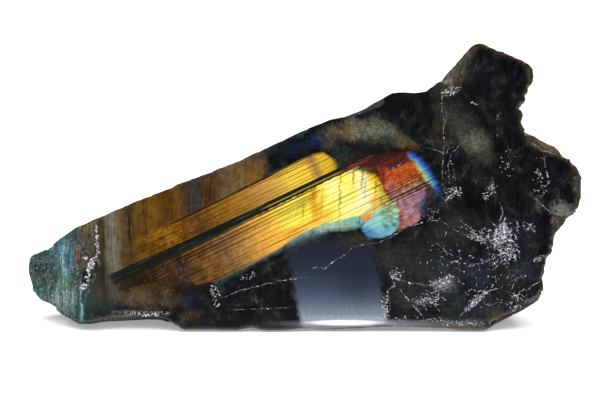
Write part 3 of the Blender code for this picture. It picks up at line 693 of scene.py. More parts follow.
# Soft marks on the dark ground: centre, half-size, turn, softness, colour and strength.
GROUND_MARKS = {
    "crest_dark": ((-1.0, 57.2), (12.5, 4.0), 25.5, 0.3, "#0e1110", 0.95),
    "crest_navy": ((4.2, 57.2), (2.8, 1.3), 30.0, 0.8, "#18284a", 0.9),
    "crest_blue": ((-2.0, 54.4), (3.6, 1.0), 25.5, 0.8, "#18243a", 0.8),
    "crest_tan": ((-9.0, 56.9), (9.0, 1.1), 25.0, 0.5, "#a8824a", 0.9),
    "crest_teal": ((-0.4, 59.4), (2.6, 1.0), 25.0, 0.8, "#2a504e", 0.85),
    "cloud_slope": ((13.4, 60.6), (6.6, 2.0), 14.0, 0.8, "#7a735a", 0.9),
    "cloud_warm": ((14.2, 58.8), (1.8, 1.8), 0.0, 0.8, "#85684a", 0.8),
    "cloud_middle": ((20.4, 59.6), (4.6, 3.0), -8.0, 0.8, "#797c66", 0.9),
    "cloud_right": ((26.6, 58.2), (4.6, 2.2), -22.0, 0.8, "#757a68", 0.9),
    "cloud_end": ((30.6, 56.2), (3.6, 1.2), -20.0, 0.8, "#6a5832", 0.85),
    "cloud_rust": ((31.6, 55.7), (1.0, 0.6), 0.0, 0.9, "#6c3820", 0.7),
    "cloud_left": ((9.2, 57.0), (3.6, 1.7), 28.0, 0.8, "#5a4a3a", 0.85),
    "pool_dark": ((20.0, 55.0), (9.0, 2.6), 14.0, 0.6, "#17151b", 0.9),
    "pool_teal": ((11.8, 52.6), (2.4, 2.2), 20.0, 0.9, "#2a3c34", 0.9),
    "pool_brown": ((15.4, 51.2), (3.4, 1.4), 22.0, 0.9, "#33261e", 0.8),
    "cloud_block": ((47.6, 61.0), (8.0, 3.6), -48.0, 0.9, "#4c5246", 0.8),
    "cloud_block_bright": ((51.2, 56.6), (3.4, 2.4), -30.0, 0.9, "#7a7e68", 0.8),
    "cloud_mid_olive": ((53.4, 52.2), (3.4, 2.4), 0.0, 0.9, "#4a4a3a", 0.6),
    "crack_brown": ((41.0, 58.6), (0.5, 7.6), 0.0, 0.9, "#50441e", 0.5),
    "crack_fill": ((40.3, 62.6), (1.1, 8.4), 0.0, 0.9, "#35301f", 0.8),
    "matrix_grey": ((42.6, 18.4), (4.6, 3.6), 0.0, 0.9, "#393d42", 0.85),
    "web_slate": ((44.4, 8.6), (3.6, 3.8), 0.0, 0.9, "#2f3537", 0.85),
    "side_slate": ((66.6, 17.6), (2.8, 3.6), 0.0, 0.9, "#303542", 0.8),
    "side_olive": ((61.6, 15.8), (3.4, 3.4), 0.0, 0.9, "#383c32", 0.8),
    "branch_olive": ((30.4, 11.0), (3.6, 4.0), 0.0, 0.9, "#373b38", 0.85),
    "slate_edge": ((25.2, 22.8), (1.8, 3.4), 0.0, 0.9, "#403d2e", 0.8),
    "star_haze": ((59.2, 28.2), (2.6, 5.0), -24.0, 0.9, "#50505a", 0.4),
    "web_haze": ((42.6, 14.6), (3.0, 1.8), 10.0, 0.9, "#82828a", 0.75),
    "web_haze_low": ((37.4, 9.6), (3.6, 1.6), 10.0, 0.9, "#55565c", 0.6),
    "star_blue": ((65.6, 29.2), (2.8, 4.0), 0.0, 0.9, "#272a3c", 0.75),
    "block_cloud": ((46.6, 76.6), (3.4, 2.6), 0.0, 0.9, "#40443c", 0.7),
    "block_slate": ((53.0, 69.0), (8.0, 10.0), 0.0, 0.9, "#101117", 0.55),
    "slope_slate": ((-11.0, 53.6), (6.4, 1.6), 25.5, 0.9, "#2c3438", 0.7),
    "matrix_slate": ((53.0, 16.6), (3.2, 3.6), 0.0, 0.9, "#303548", 0.85),
    "matrix_olive": ((32.0, 20.6), (6.6, 6.2), 0.0, 0.9, "#353936", 0.8),
    "middle_olive": ((44.6, 30.6), (5.8, 4.8), 0.0, 0.9, "#343836", 0.8),
    "foot_slate": ((54.6, 6.8), (3.8, 2.8), 0.0, 0.9, "#303442", 0.85),
    "flank_olive": ((71.0, 56.4), (5.5, 2.2), -25.0, 0.7, "#4a4230", 0.8),
    "flank_gold": ((75.0, 54.4), (3.4, 1.2), -28.0, 0.7, "#7c6638", 0.8),
    "flank_crystal": ((77.0, 36.6), (3.2, 1.3), -5.0, 0.9, "#84887c", 0.85),
    "flank_tooth": ((76.8, 32.4), (2.4, 1.8), 20.0, 0.8, "#5a5638", 0.8),
    "foot_olive": ((57.4, 4.3), (2.6, 2.2), 30.0, 0.9, "#4f4a32", 0.8),
    "foot_pale": ((50.0, 2.0), (8.0, 1.7), 0.0, 0.9, "#6e6e69", 0.65),
    "tip_block": ((-63.8, 26.0), (3.8, 9.4), 0.0, 0.5, "#3c3527", 0.9),
    "tip_slate": ((-61.0, 17.4), (3.6, 3.6), 0.0, 0.8, "#1c2020", 0.9),
    "tip_teal": ((-64.4, 9.0), (2.4, 6.2), 0.0, 0.9, "#1c4446", 0.9),
    "foot_teal": ((-57.6, 8.8), (6.0, 4.2), 0.0, 0.9, "#20302f", 0.9),
    "foot_brown": ((-43.5, 14.4), (9.0, 4.0), 14.0, 0.8, "#4a3018", 0.95),
    "foot_rust": ((-47.0, 15.4), (3.6, 1.4), 25.0, 0.9, "#5c3a1c", 0.8),
    "foot_tan": ((-46.0, 9.8), (8.0, 2.0), -4.0, 0.9, "#66573f", 0.9),
    "foot_shade": ((-40.6, 17.4), (2.6, 1.6), 15.0, 0.8, "#0d0c0c", 0.9),
    "foot_blue": ((-33.8, 9.4), (1.6, 2.4), 0.0, 0.9, "#232c44", 0.7),
    "foot_grey": ((-32.4, 18.0), (3.4, 4.4), 10.0, 0.9, "#34322f", 0.8),
    "foot_spot_a": ((-49.0, 11.2), (2.4, 1.2), 20.0, 0.9, "#665639", 0.8),
    "foot_spot_b": ((-43.2, 10.4), (1.8, 1.6), 0.0, 0.9, "#1c1812", 0.9),
    "foot_spot_c": ((-40.4, 12.2), (1.8, 1.0), 10.0, 0.9, "#604c32", 0.8),
    "foot_spot_d": ((-51.6, 13.6), (1.4, 2.0), 0.0, 0.9, "#241d14", 0.9),
    "nook_gold": ((-33.0, 4.9), (3.0, 1.5), 14.0, 0.9, "#4f421e", 0.8),
    "fringe_spot": ((-24.4, 15.8), (1.8, 0.9), 12.0, 0.8, "#305d52", 0.75),
    "under_gold_grey": ((2.4, 28.6), (6.5, 1.4), 22.0, 0.9, "#44505c", 0.85),
    "under_gold_olive": ((17.4, 27.8), (4.2, 1.6), 14.0, 0.9, "#38361f", 0.9),
}

# Straight-sided domains of the broken-up end of the bright zone: corners, softness, colour and strength.
FLARE_DOMAINS = {
    "wine": ([(14.5, 48.6), (24.0, 46.0), (36.0, 50.5), (31.8, 54.6), (23.0, 52.8)], 0.9, "#351a18", 0.95),
    "red_top": ([(20.0, 48.0), (25.4, 47.8), (32.8, 50.9), (31.2, 53.4), (24.4, 51.6)],
                0.9, "#5a261e", 0.95),
    "red_side": ([(21.2, 49.0), (25.6, 49.0), (26.0, 41.6), (24.2, 40.4), (23.4, 44.6)],
                 0.5, "#a2442e", 0.95),
    "orange": ([(24.7, 47.8), (32.4, 51.0), (35.0, 48.8), (34.6, 46.2), (27.8, 43.0), (25.0, 42.6)],
               0.5, "#c85f2c", 0.97),
    "amber_edge": ([(26.6, 43.2), (35.0, 47.0), (35.4, 45.6), (27.4, 42.0)], 0.6, "#d08a3c", 0.9),
    "salmon": ([(24.8, 44.6), (27.2, 44.6), (28.6, 42.6), (25.4, 41.0)], 0.7, "#cf7c68", 0.85),
    "mauve": ([(25.6, 41.2), (36.8, 45.8), (37.8, 44.4), (27.8, 39.2), (24.6, 39.0)], 0.5, "#a87868", 0.95),
    "pink": ([(28.8, 42.6), (33.6, 44.4), (33.8, 43.2), (29.2, 41.2)], 0.6, "#c08078", 0.85),
    "plum": ([(27.4, 39.2), (39.2, 44.4), (40.8, 42.0), (34.2, 33.0), (29.4, 31.0)], 0.5, "#bb8e9d", 0.97),
    "plum_dark": ([(36.8, 43.6), (42.6, 45.0), (42.0, 37.6), (37.0, 34.2), (35.0, 34.4), (35.6, 38.6)],
                  0.9, "#24262c", 0.93),
    "coral_left": ([(28.3, 38.0), (29.6, 37.8), (30.4, 32.6), (29.0, 31.0)], 1.0, "#c06c5c", 0.85),
    "coral_foot": ([(29.2, 31.2), (34.0, 33.4), (33.6, 34.4), (30.2, 33.0)], 0.9, "#c87450", 0.85),
    "blue_ring": ([(34.0, 39.2), (36.0, 39.6), (36.4, 37.4), (34.4, 37.0)], 0.8, "#416a8c", 0.75),
    "blue_streak": ([(35.0, 37.4), (36.6, 37.2), (36.2, 34.8), (35.2, 35.0)], 0.8, "#303e62", 0.7),
    "teal": ([(22.6, 37.6), (27.4, 39.0), (28.7, 36.2), (28.9, 31.6), (26.4, 29.1), (22.9, 28.0),
              (19.6, 28.7), (17.8, 31.2), (19.6, 34.4)], 0.35, TEAL, 0.97),
    "teal_blue": ([(17.2, 31.6), (20.0, 31.2), (22.4, 29.2), (19.8, 28.2)], 0.8, "#4676b0", 0.85),
    "cream_step": ([(20.6, 35.8), (27.0, 38.7), (28.0, 39.8), (24.0, 39.2), (21.0, 37.4)],
                   0.4, "#e6da78", 0.9),
    "ember": ([(17.4, 34.6), (20.5, 35.4), (20.7, 33.9), (18.8, 33.0)], 0.4, "#ee8a24", 0.95),
}

# Soft marks in the bright zone: centre, half-size, turn, softness, colour and strength.
GOLD_MARKS = {
    "cream": ((18.2, 42.4), (1.5, 6.0), -2.5, 0.9, "#fffdcc", 0.9),
    "cream_low": ((17.0, 38.0), (4.2, 1.5), 25.0, 0.9, "#fffcb8", 0.9),
    "cream_left": ((8.8, 43.6), (1.7, 3.0), -2.5, 0.9, "#fdf8a8", 0.75),
    "lemon": ((13.0, 38.6), (1.2, 5.0), -2.5, 0.9, "#fdf690", 0.75),
    "trace_long": ((11.2, 41.0), (0.26, 7.0), -1.0, 0.8, "#94801c", 0.8),
    "trace_short": ((15.2, 46.6), (0.26, 2.6), -2.5, 0.8, "#a0780f", 0.85),
    "trace_pair": ((17.9, 46.0), (0.3, 2.8), -6.0, 0.8, "#8f6c10", 0.85),
    "trace_thin": ((18.7, 43.0), (0.22, 2.8), -2.5, 0.8, "#a58218", 0.7),
    "trace_right": ((21.9, 44.0), (0.28, 4.0), -2.5, 0.8, "#b07c12", 0.85),
    "trace_left": ((0.4, 36.0), (0.26, 2.6), -2.5, 0.8, "#a8821c", 0.7),
    "orange_patch": ((3.4, 40.6), (0.8, 4.2), -2.5, 0.9, "#dc941c", 0.85),
    "orange_low": ((4.4, 36.4), (1.2, 2.6), -2.5, 0.9, "#dc9620", 0.8),
    "orange_mid": ((5.9, 38.0), (0.5, 3.4), -2.5, 0.9, "#e0a028", 0.75),
    "orange_right": ((21.6, 38.6), (1.2, 1.6), 0.0, 0.9, "#f0a82c", 0.8),
    "gold_top": ((21.0, 46.6), (1.6, 2.2), 0.0, 0.9, "#f2b81c", 0.8),
    "amber_low": ((-3.0, 29.6), (6.0, 1.6), 25.0, 0.9, "#e09a3c", 0.8),
    "amber_mid": ((6.0, 34.4), (4.0, 0.9), 25.0, 0.9, "#f0b03c", 0.75),
    "grey_gap": ((-35.2, 18.6), (2.8, 3.6), 20.0, 0.9, "#3c3834", 0.8),
}

# The flare's corners within which its colour is mottled, and within which fine lamellae rule it.
MOTTLED = [(24.0, 30.0), (42.0, 34.0), (41.0, 47.0), (32.0, 56.0), (21.5, 50.0)]
RULED = [(17.0, 27.0), (42.0, 36.0), (41.0, 47.0), (30.0, 52.0), (20.0, 46.0)]

# Painted highlight on the rounded lip at the base, where it would reflect the pale floor: centre, half-size,
# softness, colour and strength.
LIP_PAINTED_HIGHLIGHTS = {
    "grey": ((20.0, 2.6), (21.0, 1.0), 0.7, "#77797c", 0.8),
    "white": ((12.7, 2.9), (9.6, 0.75), 0.5, "#ffffff", 1.0),
}

# Separate dark lamellae: t at the left end and at the right, s of the two ends, width and strength.
DARK_LAMELLAE = [
    (45.8, 46.1, -22.0, 13.0, 0.5, 0.9),
    (45.3, 45.4, 4.0, 24.0, 0.24, 0.8),
    (44.8, 44.9, 12.0, 26.0, 0.18, 0.6),
    (46.3, 46.5, 0.0, 20.0, 0.3, 0.7),
    (36.6, 37.0, -24.0, 22.0, 0.34, 0.9),
    (35.5, 35.9, -26.0, 24.0, 0.3, 0.85),
    (34.6, 34.9, -24.0, 21.0, 0.32, 0.8),
    (33.5, 33.9, -22.0, 18.0, 0.3, 0.7),
    (32.4, 32.8, -16.0, 17.0, 0.24, 0.6),
    (39.5, 38.0, 31.0, 41.0, 0.3, 0.9),
    (37.8, 37.6, 6.0, 31.0, 0.2, 0.7),
    (24.3, 24.4, 38.0, 54.5, 0.36, 0.95),
    (23.4, 23.5, 38.5, 53.5, 0.26, 0.85),
    (22.4, 22.5, 38.5, 52.5, 0.2, 0.7),
    (26.2, 26.3, 36.0, 52.5, 0.22, 0.8),
    (27.0, 27.1, 38.5, 52.0, 0.2, 0.8),
    (27.8, 27.9, 39.0, 51.0, 0.16, 0.6),
]


def dark_ground(tree, place):
    """Nearly black feldspar: green-grey clouds drawn out upright, and streaks of slate blue and olive."""
    clouds = add(tree, "ShaderNodeTexNoise", {}, {
        "Vector": feathered(tree, place, UPRIGHT, (9.0, 0.7), 2.5),
        "Scale": 0.17, "Detail": 7.0, "Roughness": 0.72, "Distortion": 0.5})
    colour = ramp(tree, clouds, [
        (0.30, "#020203"), (0.42, "#060608"), (0.49, "#0e0f12"), (0.56, "#1c1f21"), (0.64, "#363937"),
        (0.74, "#5c5e53")])
    for spacing, seed, start, tint, strength in (
            ((14.0, 1.5), 3.0, 0.52, "#161a25", 0.6),
            ((7.0, 0.9), 17.0, 0.54, "#282a22", 0.45)):
        streak = streaked(tree, place, UPRIGHT, spacing, seed)
        streak = add(tree, "ShaderNodeMapRange", {}, {
            "Value": streak, "From Min": start, "From Max": start + 0.2})
        colour = lay_over(tree, colour, tint, streak, strength)
    return colour


def twin_lines(tree, lamella, pitch, width, seed):
    """Dark lines along the lamellae at irregular distances. Each fades in and out along its length."""
    s, t, _ = parts_of(tree, lamella)
    steps = add(tree, "ShaderNodeMath", {"operation": "MULTIPLY_ADD"}, {0: t, 1: 1.0 / pitch, 2: seed})
    edges = add(tree, "ShaderNodeTexVoronoi", {"voronoi_dimensions": "1D", "feature": "DISTANCE_TO_EDGE"}, {
        "W": steps, "Scale": 1.0, "Randomness": 0.9})
    line = add(tree, "ShaderNodeMapRange", {"interpolation_type": "SMOOTHSTEP"}, {
        "Value": edges, "From Min": 0.2 * width / pitch, "From Max": width / pitch,
        "To Min": 1.0, "To Max": 0.0})
    fade = streaked(tree, lamella, 0.0, (16.0, 1.0), seed, 2.0)
    fade = add(tree, "ShaderNodeMapRange", {}, {"Value": fade, "From Min": 0.36, "From Max": 0.62})
    return both(tree, line, fade)


def one_lamella(tree, s, t, left, right, start, stop, width):
    """1 on a single thin lamella that runs straight between its two ends."""
    middle = add(tree, "ShaderNodeMapRange", {}, {
        "Value": s, "From Min": start, "From Max": stop, "To Min": left, "To Max": right})
    off = add(tree, "ShaderNodeMath", {"operation": "SUBTRACT"}, {0: t, 1: middle})
    off = add(tree, "ShaderNodeMath", {"operation": "ABSOLUTE"}, {0: off})
    line = add(tree, "ShaderNodeMapRange", {"interpolation_type": "SMOOTHSTEP"}, {
        "Value": off, "From Min": 0.3 * width, "From Max": 0.8 * width, "To Min": 1.0, "To Max": 0.0})
    return both(tree, line, between(tree, s, start, stop, 2.5, 2.0))


def within(tree, t, s, foot, top, ends, soft):
    """1 between two bent lines of t and between two ends of s: soft is foot, top, left end and right end."""
    above = add(tree, "ShaderNodeMath", {"operation": "SUBTRACT"}, {0: t, 1: foot})
    under = add(tree, "ShaderNodeMath", {"operation": "SUBTRACT"}, {0: top, 1: t})
    across = both(tree, fades(tree, above, 0.0, soft[0]), fades(tree, under, 0.0, soft[1]))
    return both(tree, across, between(tree, s, *ends, soft[2], soft[3]))


def places_on_face(tree, frame, lean):
    """The coordinates that the polished face's marks are drawn in. Edges on the ground are frayed upright,
    and edges in the bright zone are stepped along the lamellae."""
    flat = face_place(tree, frame, lean)
    u, v, _ = parts_of(tree, flat)
    lamella = along_lamellae(tree, flat)
    s, t, _ = parts_of(tree, lamella)
    frayed = feathered(tree, ragged(tree, flat, 4.0, 2.8), UPRIGHT, (5.0, 0.6), 1.6)
    stepped = feathered(tree, ragged(tree, flat, 2.0, 0.6), LAMELLA_SLANT, (9.0, 0.45), 1.2, 5.0)
    frayed_u, _, _ = parts_of(tree, frayed)
    frayed_s, frayed_t, _ = parts_of(tree, along_lamellae(tree, frayed))
    stepped_s, stepped_t, _ = parts_of(tree, along_lamellae(tree, stepped))
    return SimpleNamespace(
        flat=flat, u=u, v=v, lamella=lamella, s=s, t=t,
        frayed=frayed, frayed_u=frayed_u, frayed_s=frayed_s, frayed_t=frayed_t,
        stepped=stepped, stepped_s=stepped_s, stepped_t=stepped_t)


def slate_domain(tree, at, colour):
    """Adds the slate domain between two cleavage traces under the bright zone. Returns its mask too."""
    side = add(tree, "ShaderNodeMath", {"operation": "MULTIPLY_ADD"}, {0: at.v, 1: 0.2, 2: at.frayed_u})
    mask = both(
        tree, between(tree, side, 0.2, 26.0, 1.2, 1.0), between(tree, at.v, -5.0, 28.0, 1.0, 2.5))
    # Near the base the slate ramp carries a painted reflection of the floor.
    colour = lay_over(tree, colour, ramp(tree, at.v, SLATE), mask, 0.95)
    navy = oval(tree, at.frayed, (17.0, 17.0), (7.0, 6.0), 0.0, 0.9)
    return lay_over(tree, colour, "#1a2032", navy, 0.6), mask


def upright_strips(tree, at, colour, cloudy):
    """Adds the upright strips of the left body, from the tip to the bright zone. Returns their mask too."""
    drift = add(tree, "ShaderNodeMath", {"operation": "MULTIPLY_ADD"}, {
        0: streaked(tree, at.flat, UPRIGHT, (9.0, 0.45), 27.0),
        1: 0.6,
        2: streaked(tree, at.flat, UPRIGHT, (22.0, 2.0), 9.0)})
    across = add(tree, "ShaderNodeMath", {"operation": "MULTIPLY_ADD"}, {
        0: at.v, 1: math.tan(math.radians(CLEAVAGE_LEAN)), 2: at.u})
    across = add(tree, "ShaderNodeMath", {"operation": "MULTIPLY_ADD"}, {0: drift, 1: STRIP_DRIFT, 2: across})
    strips = ramp(tree, across, [(middle + STRIP_SHIFT, tint) for middle, tint in STRIPS])
    for tint, seed in (("#7c5212", 33.0), ("#1a1512", 35.0), ("#5c4630", 37.0)):
        glow = streaked(tree, at.flat, UPRIGHT, (8.0, 0.8), seed)
        glow = add(tree, "ShaderNodeMapRange", {}, {"Value": glow, "From Min": 0.52, "From Max": 0.7})
        strips = lay_over(tree, strips, tint, glow, 0.5)
    mask = both(
        tree, between(tree, at.frayed_t, 33.0, 80.0, 4.0, 1.0),
        between(tree, at.frayed_u, -66.0, -11.0, 1.2, 1.0))
    strips = lay_over(tree, strips, cloudy, 1.0, 0.4, "MULTIPLY")
    return lay_over(tree, colour, strips, mask), mask


def marked_ground(tree, at, colour, patchy, drawn_over):
    """Adds the ground's clouds, pools and stains, and its specks, which are faint where it is drawn over."""
    for centre, half_size, turn, soft, tint, strength in GROUND_MARKS.values():
        mask = both(tree, patchy, oval(tree, at.frayed, centre, half_size, turn, soft))
        colour = lay_over(tree, colour, tint, mask, strength)
    specks = add(tree, "ShaderNodeTexNoise", {}, {
        "Vector": at.flat, "Scale": 1.1, "Detail": 6.0, "Roughness": 0.78})
    specks = ramp(tree, specks, [(0.38, "#303030"), (0.5, "#a4a4a4"), (0.58, "#ffffff"), (0.7, "#ffffff")])
    plain = add(tree, "ShaderNodeMath", {"operation": "MULTIPLY_ADD"}, {0: drawn_over, 1: -0.7, 2: 1.0})
    return lay_over(tree, colour, specks, plain, 0.6, "MULTIPLY")


def lit_edges(tree, at, colour, patchy):
    """Adds the painted highlight on the worn lip, and the brown of thin edges on the right, painted as light
    let through them.
    """
    # Painted highlight and painted reflection of the floor along the worn lip.
    for centre, half_size, soft, tint, strength in LIP_PAINTED_HIGHLIGHTS.values():
        lip = oval(tree, at.flat, centre, half_size, 0.0, soft)
        colour = lay_over(tree, colour, tint, lip, strength)
    # A brown painted glow along the rim on the right, standing in for light let through its thin edges.
    edge = add(tree, "ShaderNodeAttribute", {"attribute_name": "rim"}, {}, "Fac")
    edge = add(tree, "ShaderNodeMapRange", {}, {
        "Value": edge, "From Min": 0.1, "From Max": 1.7, "To Min": 1.0, "To Max": 0.0})
    edge = both(tree, both(tree, edge, both(tree, patchy, patchy)), fades(tree, at.u, 40.0, 4.0))
    return lay_over(tree, colour, "#4c4026", edge, 0.75)


def gold_packets(tree, at, colour, patchy):
    """Adds the two gold packets, and the teal fringe along the foot of the lower one. Returns a mask of the
    gold too."""
    upper_top = side_line(tree, at.stepped_s, UPPER_TOP)
    upper = within(tree, at.t, at.stepped_s, 39.5, upper_top, (-35.0, 30.2), (0.2, 0.9, 9.0, 1.3))
    colour = lay_over(tree, colour, ramp(tree, at.stepped_s, UPPER_GOLD), upper)
    foot = side_line(tree, at.s, MAIN_FOOT)
    fringe_foot = add(tree, "ShaderNodeMath", {"operation": "SUBTRACT"}, {
        0: foot, 1: side_line(tree, at.s, FRINGE_DEPTH)})
    half_frayed_t = add(tree, "ShaderNodeMath", {"operation": "MULTIPLY_ADD"}, {
        0: at.frayed_t, 1: 0.5, 2: both(tree, at.t, 0.5)})
    fringe = within(
        tree, half_frayed_t, at.frayed_s, fringe_foot, 30.0, (-16.0, 33.0), (1.1, 1.0, 3.0, 1.5))
    veiled = add(tree, "ShaderNodeMapRange", {}, {
        "Value": patchy, "From Min": 0.3, "From Max": 0.8, "To Min": 0.45})
    colour = lay_over(
        tree, colour, ramp(tree, at.frayed_s, TEAL_FRINGE), both(tree, fringe, veiled), 0.95)
    # The main packet's foot is frayed at its dull left end and stepped at its bright right end.
    dull_end = add(tree, "ShaderNodeMapRange", {}, {
        "Value": at.s, "From Min": -22.0, "From Max": -6.0, "To Min": 1.0, "To Max": 0.0})
    main_t = add(tree, "ShaderNodeMix", {"data_type": "FLOAT"}, {
        "Factor": dull_end, "A": at.stepped_t, "B": at.frayed_t})
    main = within(tree, main_t, at.stepped_s, foot, 39.0, (-44.0, 40.3), (0.5, 0.25, 6.0, 0.4))
    under_top = add(tree, "ShaderNodeMath", {"operation": "SUBTRACT"}, {
        0: side_line(tree, at.s, MAIN_TOP), 1: at.stepped_t})
    main = both(tree, main, fades(tree, under_top, 0.0, 0.25))
    gold = ramp(tree, at.stepped_s, MAIN_GOLD)
    for centre, half_size, turn, soft, tint, strength in GOLD_MARKS.values():
        gold = lay_over(tree, gold, tint, oval(tree, at.stepped, centre, half_size, turn, soft), strength)
    colour = lay_over(tree, colour, gold, main)
    return colour, add(tree, "ShaderNodeMath", {"operation": "MAXIMUM"}, {0: main, 1: upper})


def flare_domains(tree, at, colour):
    """Adds a wine-red lamella over the top of the bright zone, then the domains of its broken-up end."""
    wine = both(
        tree, between(tree, at.stepped_t, 37.5, 38.8, 0.25, 0.3),
        between(tree, at.stepped_s, 24.0, 41.0, 3.0, 2.0))
    colour = lay_over(tree, colour, "#6b3420", wine, 0.9)
    for corners, soft, tint, strength in FLARE_DOMAINS.values():
        paint = tint if isinstance(tint, str) else ramp(tree, at.v, tint)
        colour = lay_over(tree, colour, paint, domain(tree, at.stepped, corners, soft), strength)
    mottle = add(tree, "ShaderNodeTexNoise", {}, {
        "Vector": at.stepped, "Scale": 0.7, "Detail": 5.0, "Roughness": 0.7})
    mottle = ramp(tree, mottle, [(0.36, "#5c4c48"), (0.5, "#c8c0bc"), (0.6, "#ffffff")])
    return lay_over(tree, colour, mottle, domain(tree, at.flat, MOTTLED, 1.0), 0.8, "MULTIPLY")


def rainbow_arc(tree, at, colour):
    """Adds the rainbow that curves across the end of the bright zone, stepped by the lamellae."""
    out = feathered(tree, at.stepped, LAMELLA_SLANT, (20.0, 0.4), 1.6, 51.0)
    out = add(tree, "ShaderNodeVectorMath", {"operation": "SUBTRACT"}, {0: out, 1: RAINBOW_CENTRE})
    out = add(tree, "ShaderNodeVectorMath", {"operation": "MULTIPLY"}, {0: out, 1: (1.0, 1.0, 0.0)})
    reach = add(tree, "ShaderNodeVectorMath", {"operation": "LENGTH"}, {0: out}, "Value")
    past_start = add(tree, "ShaderNodeMath", {"operation": "SUBTRACT"}, {
        0: reach, 1: side_line(tree, at.t, RAINBOW_START)})
    arc = both(tree, fades(tree, past_start, 0.0, 0.5), between(tree, reach, 10.0, 22.2, 1.0, 0.4))
    arc = both(tree, arc, both(
        tree, between(tree, at.t, 19.0, 34.5, 1.2, 0.8), fades(tree, at.u, 30.4, 1.2)))
    return lay_over(tree, colour, ramp(tree, reach, RAINBOW), arc)


def fine_grain(tree, at, colour, cloudy, in_gold):
    """Adds fine upright threads everywhere, and clouds and threads along the lamellae in the gold. The dull
    left half of the gold is clouded, and the bright half is clean."""
    upright = streaked(tree, at.flat, UPRIGHT, (3.2, 0.32), 31.0)
    upright = ramp(tree, upright, [(0.34, "#8c8c8c"), (0.5, "#dcdcdc"), (0.62, "#ffffff")])
    colour = lay_over(tree, colour, upright, 1.0, 0.25, "MULTIPLY")
    slanting = streaked(tree, at.flat, LAMELLA_SLANT, (6.0, 0.3), 41.0)
    slanting = ramp(tree, slanting, [(0.34, "#9a8a78"), (0.5, "#e4dccf"), (0.62, "#ffffff")])
    dull = add(tree, "ShaderNodeMapRange", {}, {
        "Value": at.s, "From Min": -24.0, "From Max": 6.0, "To Min": 1.0, "To Max": 0.1})
    colour = lay_over(tree, colour, cloudy, both(tree, dull, in_gold), 0.8, "MULTIPLY")
    return lay_over(tree, colour, slanting, in_gold, 0.4, "MULTIPLY")


def dark_lamellae(tree, at, colour, in_gold):
    """Adds the dark twin lamellae, from the broad band down to hairlines."""
    band_foot = side_line(tree, at.s, BAND_FOOT)
    band_top = side_line(tree, at.s, BAND_TOP)
    band = within(tree, at.t, at.s, band_foot, band_top, (-45.0, 33.0), (0.3, 0.18, 2.0, 1.5))
    streaks = ramp(tree, streaked(tree, at.flat, LAMELLA_SLANT, (16.0, 0.5), 7.0), BAND_STREAKS)
    colour = lay_over(tree, colour, streaks, band, 0.97)
    glow = one_lamella(tree, at.s, at.t, 38.2, 38.2, 6.0, 31.0, 0.4)
    colour = lay_over(tree, colour, "#9a7c24", glow, 0.75)
    for left, right, start, stop, width, strength in DARK_LAMELLAE:
        line = one_lamella(tree, at.s, at.t, left, right, start, stop, width)
        colour = lay_over(tree, colour, "#1a130a", line, strength)
    hairs = twin_lines(tree, at.lamella, LAMELLA_PITCH, 0.3, 3.0)
    colour = lay_over(tree, colour, "#8c7440", both(tree, hairs, in_gold), 0.85, "MULTIPLY")
    fine = twin_lines(tree, at.lamella, LAMELLA_PITCH * 0.45, 0.2, 13.0)
    in_flare = domain(tree, at.flat, RULED, 2.0)
    return lay_over(tree, colour, "#7a6468", both(tree, fine, in_flare), 0.85, "MULTIPLY")


def polished_labradorite(frame, lean):
    """Labradorite feldspar, sawn flat and polished. It gives a glassy gloss over deep colour: flat domains
    that flash gold, copper, teal and blue, ruled by fine dark twin lamellae, in a nearly black ground."""
    material, tree, shader = new_material("polished_labradorite")
    at = places_on_face(tree, frame, lean)
    colour = dark_ground(tree, at.flat)
    colour, slate = slate_domain(tree, at, colour)
    cloudy = add(tree, "ShaderNodeTexNoise", {}, {
        "Vector": at.frayed, "Scale": 0.42, "Detail": 6.0, "Roughness": 0.72})
    cloudy = ramp(tree, cloudy, [(0.36, "#3c322a"), (0.48, "#a89a88"), (0.56, "#ffffff")])
    colour, strips = upright_strips(tree, at, colour, cloudy)
    patchy = add(tree, "ShaderNodeTexNoise", {}, {
        "Vector": at.flat, "Scale": 0.5, "Detail": 5.0, "Roughness": 0.7, "Distortion": 0.6})
    patchy = add(tree, "ShaderNodeMapRange", {}, {
        "Value": patchy, "From Min": 0.34, "From Max": 0.58, "To Min": 0.3})
    drawn_over = add(tree, "ShaderNodeMath", {"operation": "MAXIMUM"}, {0: slate, 1: strips})
    colour = marked_ground(tree, at, colour, patchy, drawn_over)
    colour = lit_edges(tree, at, colour, patchy)
    colour, in_gold = gold_packets(tree, at, colour, patchy)
    colour = flare_domains(tree, at, colour)
    colour = rainbow_arc(tree, at, colour)
    colour = fine_grain(tree, at, colour, cloudy, in_gold)
    colour = dark_lamellae(tree, at, colour, in_gold)
    shader.inputs["Roughness"].default_value = 0.1
    shader.inputs["IOR"].default_value = FELDSPAR_IOR
    tree.links.new(colour, shader.inputs["Base Color"])
    return material


# ---------------------------------------------------------------------------------------------------------
# Broken labradorite
# ---------------------------------------------------------------------------------------------------------

